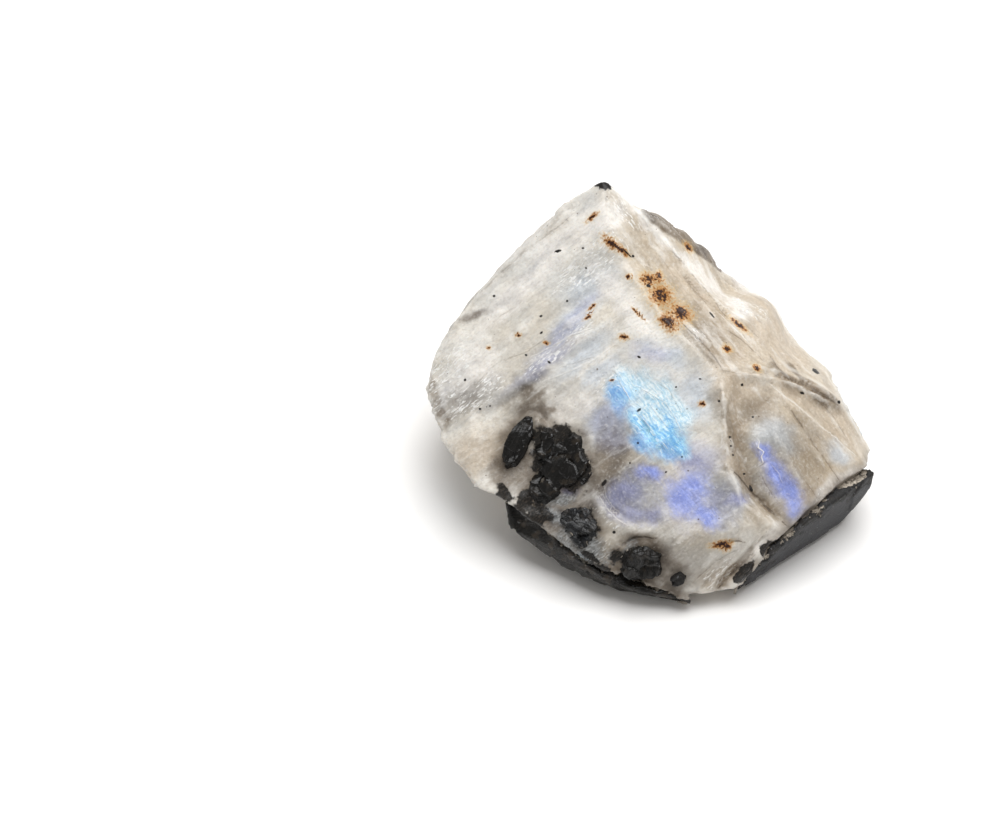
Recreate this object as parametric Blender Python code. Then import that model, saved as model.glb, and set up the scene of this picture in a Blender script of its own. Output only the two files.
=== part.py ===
"""A rough piece of rainbow moonstone with black tourmaline crystals grown into it.

The stone is a broken, roughly pyramidal lump of feldspar that rests on a small flat spot. Its
upper side is a crown of cleavage faces with ridges and ledges between them, its lower side is an
undercut belly. Each tourmaline crystal is its own solid and sits in a socket of the feldspar.
"""

import math

import bmesh
import bpy
from mathutils import Matrix, Vector, noise
from mathutils.bvhtree import BVHTree
from mathutils.geometry import delaunay_2d_cdt

# Driving dimensions, in millimetres
MM = 0.001
GRAIN = 1.75
ROUGHNESS = 0.2
ROUGHNESS_SCALE = 0.75
ROUGHNESS_PLACE = Vector((7.0, 3.0, 1.0))
SCALLOP_SIZE = 6.5
SCALLOP_DEPTH = 0.55
SCALLOP_LEVEL = 0.25
SOCKET_GAP = 0.3
ABOVE_TABLE = 0.05
SAME_POINT = 1e-3
SIGHT_LENGTH = 100.0
SLOPE_REACH = 0.9
VIEW_ELEVATION = math.radians(50)

# Every point of the crown is written as it is measured: millimetres across and up on a plane that
# faces a viewer who looks down at VIEW_ELEVATION, and millimetres of height above the table.
TIP = (-4.6, 20.6, 26.8)
JUNCTION = (6.9, 2.0, 17.6)
LEFT_CORNER = (-22.6, 0.0, 10.5)
RIGHT_CORNER = (21.8, -8.0, 7.2)
RIGHT_SHOULDER = (19.2, -0.6, 10.5)

LEFT_CREST = [
    TIP, (-7.5, 19.3, 25.2), (-10.5, 16.2, 22.7), (-13.5, 13.6, 20.2), (-16.8, 10.2, 17.4),
    (-19.5, 6.8, 14.8), (-21.5, 4.0, 12.7), LEFT_CORNER,
]
MAIN_RIDGE = [TIP, (-4.4, 17.0, 25.0), (-2.7, 12.7, 22.5), (0.9, 7.7, 20.3), JUNCTION]
RIGHT_CREST = [
    TIP, (-0.8, 17.6, 24.0), (1.5, 15.1, 21.2), (3.7, 11.9, 18.9), (6.9, 8.7, 17.4),
    (10.7, 6.1, 16.0), (14.0, 3.0, 14.2), (17.0, 0.5, 12.8),
]
BACK_CREST = [
    (-3.2, 19.6, 25.0), (-0.4, 17.9, 22.8), (1.5, 17.1, 20.6), (3.7, 15.1, 18.4), (6.2, 12.8, 16.4),
    (8.8, 10.3, 14.6), (10.4, 10.1, 13.4), (12.3, 8.4, 12.6), (13.3, 6.5, 12.2), (15.8, 3.9, 11.7),
    (17.7, 2.0, 11.2), RIGHT_SHOULDER,
]
LEFT_SHADOW_CREST = [
    (-8.6, 18.2, 23.0), (-11.5, 15.9, 20.4), (-14.5, 13.2, 17.6), (-17.6, 9.8, 14.6),
    (-20.1, 6.3, 12.0),
]
LEDGE_TOP = [JUNCTION, (8.5, 1.8, 17.2), (12.6, 1.3, 16.0), (16.4, -0.6, 13.5), (19.0, -1.4, 11.6)]
LEDGE_FOOT = [(8.3, 0.4, 16.1), (12.7, 0.3, 15.0), (16.2, -1.5, 12.5), (18.8, -2.4, 10.8)]
GROOVE = [
    LEDGE_FOOT[0], (8.5, -4.1, 13.3), (9.1, -7.9, 10.7), (10.1, -10.4, 9.1), (13.9, -13.8, 6.8),
]
GROOVE_LIP = [JUNCTION, (7.3, -2.0, 16.0), (7.4, -4.6, 14.4), (8.0, -7.9, 12.1), (8.9, -11.0, 10.2)]
APRON_BREAK = [
    (-7.0, -15.0, 6.3), (-1.0, -15.6, 6.5), (4.0, -14.4, 8.1), (8.2, -13.8, 8.7), (11.8, -13.2, 8.0),
]
FRONT_SWELLS = [
    (-9.0, 9.0, 19.4), (-15.0, 3.0, 14.2), (-5.0, -1.0, 14.3), (0.0, -5.0, 12.9),
    (-9.0, -7.0, 9.7), (3.6, -9.6, 10.9), (-18.0, -2.0, 11.2), (-3.5, 4.5, 17.6),
]
RIGHT_SWELLS = [(12.6, -5.0, 12.9), (17.0, -6.0, 10.4), (15.0, -9.6, 9.5), (6.0, 11.0, 16.9)]

# The girdle is the widest outline, where the surface turns under: the front of it is measured on
# the view plane, and the hidden back is given in plan as x, y and height.
GIRDLE_FRONT = [
    RIGHT_CORNER, (18.8, -9.9, 7.2), (16.2, -12.1, 7.0), (13.9, -13.8, 6.8), (11.5, -15.9, 5.4),
    (9.8, -18.2, 3.6), (8.3, -19.9, 2.2), (4.0, -20.2, 2.2), (-1.0, -19.3, 3.1), (-5.5, -17.7, 4.3),
    (-10.2, -14.2, 6.2), (-13.8, -11.4, 7.3), (-17.5, -9.7, 7.7), (-20.8, -5.0, 8.6), LEFT_CORNER,
]
GIRDLE_BACK = [
    (-22.2, -4.5, 8.2), (-18.5, 2.0, 6.2), (-12.5, 8.6, 5.4), (-4.0, 13.0, 5.0), (4.0, 11.8, 4.4),
    (10.5, 6.0, 4.5), (16.0, -1.2, 5.0), (20.2, -8.6, 5.6), (21.9, -13.4, 6.2),
]
BACK_SWELLS = [(-9.5, 8.0, 14.5), (-1.0, 9.6, 14.0), (7.5, 6.6, 9.2), (-15.5, 3.6, 11.8), (13.5, 0.6, 8.6)]

# The foot is the flat spot the stone rests on, in plan; between it and the girdle the belly rises
# over the waist points.
FOOT = [
    (-11.5, -10.0), (-9.8, -14.5), (-5.5, -18.6), (0.5, -21.6), (6.6, -22.6), (10.6, -18.8),
    (13.2, -12.8), (10.4, -5.0), (5.2, 0.8), (-1.6, 3.4), (-7.6, 1.2), (-10.8, -4.4),
]
WAIST = [
    (-17.0, -15.5, 4.2), (-18.5, -8.5, 4.2), (-16.5, 0.5, 3.6), (-9.0, -22.3, 2.6),
    (19.5, -14.5, 3.0), (2.5, 10.2, 2.9), (15.6, -2.6, 3.0), (-13.6, -13.8, 1.6),
    (-6.6, -21.4, 1.2), (7.0, -25.2, 0.9), (13.8, -20.0, 1.3), (17.0, -14.6, 1.5),
    (14.2, -5.6, 1.3), (8.2, 3.4, 1.1), (-0.8, 7.4, 1.3), (-10.0, 4.6, 1.6), (-14.6, -4.0, 1.7),
]

# The two large crystals along the lower edge: the rim that shows, measured on the view plane, and
# the root under the feldspar, in plan.
SLAB_RIM = [
    (22.2, -8.4, 6.9), (18.5, -9.9, 7.0), (15.8, -12.8, 6.9), (12.3, -15.4, 5.5), (9.6, -18.3, 3.1),
    (22.0, -9.6, 5.0), (21.3, -10.8, 3.0), (19.1, -13.4, 0.9), (15.7, -15.4, 0.5),
    (11.3, -17.8, 0.5), (8.7, -19.8, 1.0),
]
SLAB_ROOT = [(19.0, -13.0, 5.6), (16.5, -15.5, 1.0), (11.5, -19.0, 4.6), (8.5, -21.5, 1.2)]
SEAM_RIM = [
    (-14.6, -9.2, 7.0), (-11.0, -12.7, 6.1), (-7.0, -17.0, 4.2), (-4.5, -18.6, 3.3),
    (-1.0, -19.9, 2.4), (3.2, -20.6, 1.6), (-13.8, -13.8, 4.4), (-12.0, -14.9, 3.4),
    (-8.8, -17.4, 1.9), (-6.0, -18.8, 1.1), (-3.0, -19.9, 0.6), (3.0, -20.9, 0.6),
]
SEAM_ROOT = [(-11.0, -18.0, 5.4), (-9.5, -18.5, 1.6), (-3.0, -23.0, 3.2), (-1.0, -23.5, 0.6)]

# The smaller crystals, each with the outline of its broken top on the view plane, how deep it
# runs into the stone and how far it stands out of it.
INLAY_ROOT = 0.7
INLAY_TOP = 0.86
INLAYS = {
    "prism": ([
        (-12.2, -2.6), (-12.6, -3.0), (-13.4, -3.8), (-14.1, -5.1), (-14.5, -6.1), (-14.6, -7.0),
        (-14.2, -7.7), (-13.5, -7.6), (-12.8, -6.8), (-12.3, -5.7), (-11.7, -4.6), (-11.4, -3.6),
        (-11.5, -2.7),
    ], 1.8, 0.6),
    "cluster": ([
        (-11.0, -3.3), (-11.0, -4.5), (-10.9, -5.6), (-10.7, -6.5), (-10.6, -7.6), (-11.2, -8.8),
        (-12.0, -9.6), (-12.2, -10.4), (-11.2, -11.3), (-10.4, -11.6), (-9.2, -10.6), (-8.7, -9.9),
        (-7.2, -9.6), (-6.6, -9.1), (-6.1, -8.3), (-6.1, -7.3), (-6.6, -6.3), (-6.7, -5.3),
        (-6.9, -4.8), (-7.7, -4.7), (-9.2, -5.1), (-9.9, -4.1), (-10.6, -3.9),
    ], 2.6, 0.45),
    "block": ([
        (-8.9, -12.3), (-8.7, -13.3), (-7.5, -14.4), (-7.1, -15.3), (-6.4, -15.4), (-5.9, -14.8),
        (-5.1, -13.8), (-5.7, -12.8), (-6.4, -11.8), (-7.7, -11.9),
    ], 2.0, 0.3),
    "stub": ([
        (-2.2, -16.2), (-2.7, -17.1), (-2.6, -18.1), (-1.9, -18.7), (-0.6, -18.6), (0.2, -18.7),
        (0.9, -18.2), (1.2, -17.2), (1.1, -16.2), (0.4, -16.2), (-0.4, -15.8), (-1.6, -15.7),
    ], 2.2, 0.7),
    "button": ([
        (2.1, -18.7), (2.2, -19.1), (2.9, -19.2), (3.3, -18.9), (3.4, -18.4), (3.1, -18.1),
        (2.6, -18.2),
    ], 1.6, 0.35),
}

# Ledges on the hidden sides, where flakes broke off along the cleavage: the middle of the inner
# corner in plan and height, the side that falls away, and the flake's length.
FLAKE_REACH = 30.0
FLAKES = [
    ((-3.0, 7.6, 15.0), 1, 11.0),
    ((-8.5, 8.0, 9.5), 1, 9.0),
    ((5.5, 4.6, 10.5), 1, 12.0),
]

FELDSPAR_COLOUR = (0.62, 0.60, 0.56)
TOURMALINE_COLOUR = (0.012, 0.011, 0.011)


def seen(across, up, height):
    """The place of a point measured on the tilted view plane."""
    back = (up - height * math.cos(VIEW_ELEVATION)) / math.sin(VIEW_ELEVATION)
    return Vector((across, back, height))


def chain(points):
    """A run of measured points as places."""
    return [seen(*p) for p in points]


def sheet(outline, lines, loose):
    """A triangulated sheet over points seen from above; the outline and the lines stay as edges.

    Returns the points and the triangles, as indices that run anticlockwise from above.
    """
    points = []

    def index(point):
        for i, other in enumerate(points):
            if (other - point).length < SAME_POINT:
                return i
        points.append(point)
        return len(points) - 1

    border = [index(p) for p in outline]
    runs = [[index(p) for p in line] for line in lines]
    for p in loose:
        index(p)
    edges = [pair for run in runs for pair in zip(run, run[1:])]
    flat = [p.to_2d() for p in points]
    verts, _, faces, sources, _, _ = delaunay_2d_cdt(flat, edges, [border], 1, 1e-5)
    for found in sources:
        if not found:
            raise ValueError("two lines of the stone cross between their points")
    places = [points[found[0]] for found in sources]
    return places, faces


def add_sheet(bm, places, faces, upward):
    """Adds a sheet to the mesh with its outside up or down."""
    verts = [bm.verts.new(p) for p in places]
    for face in faces:
        corners = [verts[i] for i in face]
        (a, b, c) = (v.co for v in corners[:3])
        if ((b - a).cross(c - a).z > 0) != upward:
            corners.reverse()
        bm.faces.new(corners)


def roughen(bm):
    """Splits long edges to the grain size, then breaks the skin into shallow scallops.

    The foot keeps its one flat face.
    """
    for _ in range(6):
        long_edges = [e for e in bm.edges if e.calc_length() > GRAIN]
        if not long_edges:
            break
        bmesh.ops.subdivide_edges(bm, edges=long_edges, cuts=1)
        bmesh.ops.triangulate(bm, faces=[f for f in bm.faces if len(f.verts) > 3])
    bm.normal_update()
    moves = []
    for v in bm.verts:
        if v.co.z < ABOVE_TABLE / 2:
            continue
        nearest = noise.voronoi(v.co / SCALLOP_SIZE)[0][0]
        scallop = SCALLOP_DEPTH * (min(nearest, 1.0) ** 2 - SCALLOP_LEVEL)
        rough = ROUGHNESS * noise.noise(v.co * ROUGHNESS_SCALE + ROUGHNESS_PLACE)
        moves.append((v, v.normal * (scallop + rough)))
    for v, move in moves:
        v.co += move
        v.co.z = max(v.co.z, ABOVE_TABLE)
    flat = [f for f in bm.faces if all(v.co.z < ABOVE_TABLE / 2 for v in f.verts)]
    bmesh.ops.dissolve_faces(bm, faces=flat)


def cleavage():
    """The stone's two cleavage planes: the line they share, and the normal of each."""
    along = (seen(*JUNCTION) - seen(*TIP)).normalized()
    first = along.cross(seen(*RIGHT_CREST[5]) - seen(*JUNCTION)).normalized()
    return along, first.cross(along), first


def break_off(stone, number, corner, riser, length):
    """Takes a flake off the stone, down to a ledge and a riser that follow the cleavage.

    Corner is the middle of the line where ledge and riser meet, and riser is the side that falls
    away: 1 for down the back of the stone, -1 for down its front.
    """
    along, second, first = cleavage()
    bm = bmesh.new()
    bmesh.ops.create_cube(bm, size=1.0)
    for v in bm.verts:
        (a, b, c) = v.co
        sideways = riser * FLAKE_REACH * (b + 0.5) * second
        v.co = Vector(corner) + length * a * along + sideways + FLAKE_REACH * (c + 0.5) * first
    cutter = object_from(f"flake_{number}", bm)
    hide_cutter(cutter)
    boolean(stone, cutter, "DIFFERENCE")


def object_from(name, bm, material=None):
    """Makes an object from a mesh that was drawn in millimetres."""
    bmesh.ops.recalc_face_normals(bm, faces=bm.faces)
    bmesh.ops.scale(bm, vec=(MM, MM, MM), verts=bm.verts)
    mesh = bpy.data.meshes.new(name)
    bm.to_mesh(mesh)
    bm.free()
    obj = bpy.data.objects.new(name, mesh)
    bpy.context.scene.collection.objects.link(obj)
    if material:
        mesh.materials.append(material)
    return obj


def moonstone(material):
    """The feldspar lump: crown sheet, belly sheet and flat foot, joined along the girdle."""
    girdle = chain(GIRDLE_FRONT) + [Vector(p) for p in GIRDLE_BACK]
    ridges = [
        LEFT_CREST, MAIN_RIDGE, RIGHT_CREST, BACK_CREST, LEFT_SHADOW_CREST, LEDGE_TOP, LEDGE_FOOT,
        GROOVE, GROOVE_LIP, APRON_BREAK,
    ]
    swells = chain(FRONT_SWELLS + RIGHT_SWELLS) + [Vector(p) for p in BACK_SWELLS]
    foot = [Vector((x, y, 0.0)) for x, y in FOOT]
    waist = [Vector(p) for p in WAIST]
    bm = bmesh.new()
    add_sheet(bm, *sheet(girdle, [chain(r) for r in ridges], swells), upward=True)
    add_sheet(bm, *sheet(girdle, [foot + foot[:1]], waist), upward=False)
    bmesh.ops.remove_doubles(bm, verts=bm.verts, dist=SAME_POINT)
    roughen(bm)
    return object_from("moonstone", bm, material)


def surface_of(stone):
    """A search tree over the stone's skin, in millimetres."""
    bm = bmesh.new()
    bm.from_mesh(stone.data)
    bmesh.ops.scale(bm, vec=(1 / MM, 1 / MM, 1 / MM), verts=bm.verts)
    tree = BVHTree.FromBMesh(bm)
    bm.free()
    return tree


def on_surface(tree, across, up):
    """Where the view line through a measured spot meets the skin, and the skin's mean slope there."""
    sight = Vector((0.0, math.cos(VIEW_ELEVATION), -math.sin(VIEW_ELEVATION)))
    hits = []
    for dx, dy in ((0, 0), (1, 0), (-1, 0), (0, 1), (0, -1)):
        start = seen(across + dx * SLOPE_REACH, up + dy * SLOPE_REACH, 0.0) - sight * SIGHT_LENGTH
        place, normal, _, _ = tree.ray_cast(start, sight)
        if place:
            hits.append((place, normal))
    return hits[0][0], sum((n for _, n in hits), Vector()).normalized()


def inlay(tree, outline, depth, proud):
    """A crystal whose broken top shows in the skin with a measured outline.

    It stands proud of the skin with its upper edge drawn in, and narrows to its root inside.
    """
    skin = [on_surface(tree, *spot) for spot in outline]
    centre = sum((place for place, _ in skin), Vector()) / len(skin)
    out = sum((slope for _, slope in skin), Vector()).normalized()
    bm = bmesh.new()
    rings = []
    for lift, draw in ((-depth, INLAY_ROOT), (-SOCKET_GAP, 1.0), (proud, INLAY_TOP)):
        ring = []
        for place, _ in skin:
            inward = place - centre
            level = inward - out * inward.dot(out) * (1.0 if lift == -depth else 0.0)
            ring.append(bm.verts.new(centre + level * draw + out * lift))
        rings.append(ring)
    count = len(outline)
    for low, high in zip(rings, rings[1:]):
        for i in range(count):
            j = (i + 1) % count
            bm.faces.new((low[i], low[j], high[j], high[i]))
    bm.faces.new(reversed(rings[0]))
    bm.faces.new(rings[-1])
    bmesh.ops.triangulate(bm, faces=bm.faces)
    return bm


def hull(points):
    """The solid that measured points span."""
    bm = bmesh.new()
    for p in points:
        bm.verts.new(p)
    found = bmesh.ops.convex_hull(bm, input=bm.verts)
    inner = {v for v in found["geom_interior"] + found["geom_unused"] if isinstance(v, bmesh.types.BMVert)}
    bmesh.ops.delete(bm, geom=list(inner), context="VERTS")
    return bm


def hide_cutter(obj):
    """Marks an object as a cutter, which is no part of the stone."""
    obj.hide_render = True
    obj.display_type = "WIRE"


def boolean(obj, other, operation):
    """Joins or cuts one object by another."""
    modifier = obj.modifiers.new(other.name, "BOOLEAN")
    modifier.operation = operation
    modifier.solver = "EXACT"
    modifier.object = other


def socket(stone, name, bm):
    """Cuts the hollow that a crystal sits in, a little wider than the crystal all round."""
    wide = bm.copy()
    bmesh.ops.recalc_face_normals(wide, faces=wide.faces)
    moves = [(v, v.normal * v.calc_shell_factor() * SOCKET_GAP) for v in wide.verts]
    for v, move in moves:
        v.co += move
    cutter = object_from(name + "_socket", wide)
    hide_cutter(cutter)
    boolean(stone, cutter, "DIFFERENCE")


def tourmaline(stone, name, bm, material):
    """One crystal in its socket."""
    socket(stone, name, bm)
    object_from(name, bm, material)


def plain_material(name, colour, roughness):
    """The plain finish of one mineral."""
    material = bpy.data.materials.new(name)
    material.use_nodes = True
    shader = material.node_tree.nodes["Principled BSDF"]
    shader.inputs["Base Color"].default_value = (*colour, 1.0)
    shader.inputs["Roughness"].default_value = roughness
    shader.inputs["Metallic"].default_value = 0.0
    return material


def centre_on_table():
    """Moves everything so that the origin lies under the middle of the stone, on the table."""
    corners = [v.co for obj in bpy.data.objects if not obj.hide_render for v in obj.data.vertices]
    middle = Vector((
        (min(c.x for c in corners) + max(c.x for c in corners)) / 2,
        (min(c.y for c in corners) + max(c.y for c in corners)) / 2,
        min(c.z for c in corners),
    ))
    for obj in bpy.data.objects:
        obj.data.transform(Matrix.Translation(-middle))


def main():
    for obj in list(bpy.data.objects):
        bpy.data.objects.remove(obj)
    feldspar = plain_material("feldspar", FELDSPAR_COLOUR, 0.35)
    black = plain_material("black_tourmaline", TOURMALINE_COLOUR, 0.3)
    stone = moonstone(feldspar)
    tree = surface_of(stone)
    for number, (corner, riser, length) in enumerate(FLAKES):
        break_off(stone, number, corner, riser, length)
    slab = hull(chain(SLAB_RIM) + [Vector(p) for p in SLAB_ROOT])
    seam = hull(chain(SEAM_RIM) + [Vector(p) for p in SEAM_ROOT])
    tourmaline(stone, "tourmaline_slab", slab, black)
    tourmaline(stone, "tourmaline_seam", seam, black)
    for name, (outline, depth, proud) in INLAYS.items():
        tourmaline(stone, "tourmaline_" + name, inlay(tree, outline, depth, proud), black)
    centre_on_table()


main()
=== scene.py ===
# %% [markdown]
# # A rough piece of rainbow moonstone
# The real object is one broken lump of milky feldspar with black tourmaline crystals grown into
# its lower edge. The CAD model already has the lump, its ridges and ledges and a solid for each
# crystal. This lesson keeps those places and sizes, and gives every piece a finer skin, broken
# surfaces and the layered colours of the mineral. All modelling is done in millimetres.

# %% Load the fixed frame
import math

import bmesh
import bpy
import numpy as np
from mathutils import Matrix, Vector, noise
from mathutils.bvhtree import BVHTree
from mathutils.kdtree import KDTree


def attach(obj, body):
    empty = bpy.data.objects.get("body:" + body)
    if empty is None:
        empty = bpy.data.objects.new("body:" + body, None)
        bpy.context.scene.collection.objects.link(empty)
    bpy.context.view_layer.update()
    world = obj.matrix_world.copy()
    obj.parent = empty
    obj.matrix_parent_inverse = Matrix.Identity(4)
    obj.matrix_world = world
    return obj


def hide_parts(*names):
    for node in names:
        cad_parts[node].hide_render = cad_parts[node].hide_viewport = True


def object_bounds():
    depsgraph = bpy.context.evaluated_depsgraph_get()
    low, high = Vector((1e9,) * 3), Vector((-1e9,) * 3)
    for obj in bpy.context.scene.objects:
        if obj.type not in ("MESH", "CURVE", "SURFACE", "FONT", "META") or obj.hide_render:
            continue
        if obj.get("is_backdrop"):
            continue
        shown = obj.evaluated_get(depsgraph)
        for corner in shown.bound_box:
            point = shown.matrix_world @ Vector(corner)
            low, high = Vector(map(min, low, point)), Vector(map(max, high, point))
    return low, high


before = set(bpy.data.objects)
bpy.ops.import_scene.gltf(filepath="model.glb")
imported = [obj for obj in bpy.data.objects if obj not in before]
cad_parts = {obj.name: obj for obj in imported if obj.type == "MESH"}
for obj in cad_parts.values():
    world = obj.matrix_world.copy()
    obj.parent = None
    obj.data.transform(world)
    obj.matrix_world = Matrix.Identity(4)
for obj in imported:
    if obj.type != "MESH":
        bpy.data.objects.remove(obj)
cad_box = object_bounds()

MM = 0.001
CRYSTALS = ["slab", "seam", "prism", "cluster", "block", "stub", "button"]
print("nodes:", ", ".join(sorted(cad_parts)))

# %% [markdown]
# ## The camera
# The picture looks down on the stone at about 50 degrees through a long lens. The camera comes
# first, because every mark on the stone was measured in the picture: a ray from the camera
# through a pixel finds the place on the stone that carries the mark. Once a mark has its place in
# millimetres, it stays there whatever side the stone is seen from.

# %% Camera
PICTURE_WIDTH, PICTURE_HEIGHT = 1000, 835
LENS, SENSOR = 135.0, 36.0
FOCAL_PIXELS = PICTURE_WIDTH * LENS / SENSOR
ELEVATION = math.radians(50)
DISTANCE = 391.0
TARGET = Vector((0.216, 7.646, 0.0))
TARGET_PIXEL = (650, 389)

SIGHT = Vector((0.0, math.cos(ELEVATION), -math.sin(ELEVATION)))
ACROSS = Vector((1.0, 0.0, 0.0))
UP = Vector((0.0, math.sin(ELEVATION), math.cos(ELEVATION)))
EYE = TARGET - SIGHT * DISTANCE


def pixel_slope(px, py):
    """How far a pixel lies right of and above the middle of the picture, for each step forward."""
    return (px - PICTURE_WIDTH / 2) / FOCAL_PIXELS, (PICTURE_HEIGHT / 2 - py) / FOCAL_PIXELS


def camera_turn():
    """The camera's rotation, which puts the target on its pixel."""
    off_right, off_up = pixel_slope(*TARGET_PIXEL)
    back = -(SIGHT - ACROSS * off_right - UP * off_up).normalized()
    right = UP.cross(back).normalized()
    return Matrix((right, back.cross(right), back)).transposed()


def in_scene(name, data):
    """A new object in the scene."""
    made = bpy.data.objects.new(name, data)
    bpy.context.scene.collection.objects.link(made)
    return made


TURN = camera_turn()
camera = in_scene("camera", bpy.data.cameras.new("camera"))
camera.data.lens = LENS
camera.data.sensor_width = SENSOR
camera.data.clip_start = 0.01
camera.location = EYE * MM
camera.rotation_mode = "QUATERNION"
camera.rotation_quaternion = TURN.to_quaternion()
bpy.context.scene.camera = camera
print("camera at", [round(c, 4) for c in camera.location])

# %% [markdown]
# ## A skin that can be shaped
# A mesh of even little squares can be shaped like clay: each point only has to know its
# neighbours and which way is out. Sculpting by hand would do it too, but couldn't be run again
# the same way. Arrays make it fast enough for a hundred thousand points.

# %% Skin
class Skin:
    """A closed mesh of squares as arrays, in millimetres."""

    def __init__(self, points, faces):
        self.points = points
        self.faces = faces
        pairs = np.concatenate([faces[:, [i, (i + 1) % 4]] for i in range(4)])
        edges = np.unique(np.sort(pairs, axis=1), axis=0)
        self.ends = np.concatenate([edges, edges[:, ::-1]])

    def normals(self):
        """Which way is out at each point."""
        a, b, c, d = (self.points[self.faces[:, i]] for i in range(4))
        flat = np.cross(c - a, d - b)
        total = np.zeros_like(self.points)
        for i in range(4):
            np.add.at(total, self.faces[:, i], flat)
        return total / np.maximum(np.linalg.norm(total, axis=1, keepdims=True), 1e-9)

    def averaged(self, values, rounds):
        """Values spread over the neighbours, round after round."""
        count = np.bincount(self.ends[:, 0], minlength=len(self.points))
        for _ in range(rounds):
            total = np.bincount(self.ends[:, 0], values[self.ends[:, 1]], len(self.points))
            values = 0.5 * values + 0.5 * total / count
        return values

    def smoothed(self, vectors, rounds):
        """Places or directions spread over the neighbours."""
        return np.stack([self.averaged(vectors[:, k], rounds) for k in range(3)], axis=1)

    def tighten(self, loose, rounds):
        """Draws the loose points into the tight skin that the points around them span."""
        ends = self.ends[loose[self.ends[:, 0]]]
        inner = np.flatnonzero(loose)
        local = np.zeros(len(self.points), int)
        local[inner] = np.arange(len(inner))
        owner = local[ends[:, 0]]
        count = np.bincount(owner, minlength=len(inner))
        for _ in range(rounds):
            for k in range(3):
                total = np.bincount(owner, self.points[ends[:, 1], k], len(inner))
                self.points[inner, k] = total / count

    def tree(self):
        """A search tree over the skin."""
        return BVHTree.FromPolygons(self.points.tolist(), self.faces.tolist())


print("the CAD lump has", len(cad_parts["moonstone"].data.polygons), "faces")

# %% [markdown]
# ## From a solid to a skin
# The faces of a CAD solid are long, thin and uneven, and can't be shaped. The Remesh modifier
# cuts any closed mesh into cubes of one size and wraps it in even squares.

# %% Solids and even skins
WELD_GAP = 0.002


def solid_of(node):
    """A CAD node as one closed mesh, in millimetres."""
    bm = bmesh.new()
    bm.from_mesh(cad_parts[node].data)
    bmesh.ops.scale(bm, vec=(1 / MM,) * 3, verts=bm.verts)
    bmesh.ops.remove_doubles(bm, verts=bm.verts, dist=WELD_GAP)
    bmesh.ops.recalc_face_normals(bm, faces=bm.faces)
    return bm


def swell(bm, amount):
    """Moves every face of a solid out by an amount."""
    bm.normal_update()
    moves = [(v, v.normal * v.calc_shell_factor() * amount) for v in bm.verts]
    for v, move in moves:
        v.co += move
    return bm


def even_skin(solids, cell):
    """One skin of even squares round solids that may overlap."""
    mesh = bpy.data.meshes.new("clay")
    together = bmesh.new()
    for bm in solids:
        bm.to_mesh(mesh)
        together.from_mesh(mesh)
        bm.free()
    together.to_mesh(mesh)
    together.free()
    clay = in_scene("clay", mesh)
    remesh = clay.modifiers.new("even", "REMESH")
    remesh.mode = "VOXEL"
    remesh.voxel_size = cell
    shaped = clay.evaluated_get(bpy.context.evaluated_depsgraph_get()).to_mesh()
    points = np.empty(len(shaped.vertices) * 3)
    shaped.vertices.foreach_get("co", points)
    faces = np.empty(len(shaped.polygons) * 4, int)
    shaped.polygons.foreach_get("vertices", faces)
    bpy.data.objects.remove(clay)
    bpy.data.meshes.remove(mesh)
    return Skin(points.reshape(-1, 3), faces.reshape(-1, 4))


crystal_trees = {name: BVHTree.FromBMesh(solid_of("tourmaline_" + name)) for name in CRYSTALS}
print(len(crystal_trees), "crystals can be searched")

# %% [markdown]
# ## The feldspar lump, without its sockets
# In the CAD model each crystal sits in a socket with a thin gap, because two solids may not
# touch. In nature the feldspar grew round the crystals, so no gap shows. The gaps could be closed
# with a Boolean, but that leaves hard edges. Here the lump is joined with swollen copies of the
# crystals, cut into even squares, and the skin over each crystal is then pulled tight, so that it
# runs on smoothly under the crystal that is set on it later.

# %% Healed lump
LUMP_CELL = 0.26
SOCKET_FILL = 0.36
OVER_CRYSTAL = 0.62
TIGHTEN_ROUNDS = 1500
CRYSTAL_REACH = 6.0


def gap_to(tree, points, reach):
    """How far each point is from a mesh, up to a reach."""
    found = (tree.find_nearest(p, reach)[3] for p in points)
    return np.array([reach if gap is None else gap for gap in found])


solids = [swell(solid_of("tourmaline_" + name), SOCKET_FILL) for name in CRYSTALS]
lump = even_skin([solid_of("moonstone")] + solids, LUMP_CELL)
gaps = [gap_to(tree, lump.points, CRYSTAL_REACH) for tree in crystal_trees.values()]
crystal_gap = np.min(gaps, axis=0)
lump.tighten(crystal_gap < OVER_CRYSTAL, TIGHTEN_ROUNDS)
print("lump:", len(lump.points), "points,", int((crystal_gap < OVER_CRYSTAL).sum()), "pulled tight")

# %% [markdown]
# ## Lines measured in the picture
# Ridges, ledges and cracks are drawn as short runs of pixels. Each run is laid on the stone ray
# by ray, and gives three numbers for every point of the skin: how far the run is, how far along
# it the nearest place lies, and on which side. The reach of 1e9 stands for far away.

# %% Lines on the stone
PIXELS_PER_MM = 10.0
LAY_STEP = 8.0
PLACES_APART = 0.1
lump_tree = lump.tree()


def seen_at(px, py):
    """The place on the stone that shows at a pixel."""
    ray = TURN @ Vector((*pixel_slope(px, py), -1.0))
    return lump_tree.ray_cast(EYE, ray.normalized())[0]


def lay(pixels):
    """A line of places on the stone under a line of pixels."""
    places = []
    for (x0, y0), (x1, y1) in zip(pixels, pixels[1:]):
        steps = max(1, round(math.hypot(x1 - x0, y1 - y0) / LAY_STEP))
        for i in range(steps + 1):
            place = seen_at(x0 + (x1 - x0) * i / steps, y0 + (y1 - y0) * i / steps)
            if place and (not places or (place - places[-1]).length > PLACES_APART):
                places.append(place)
    return places


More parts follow.
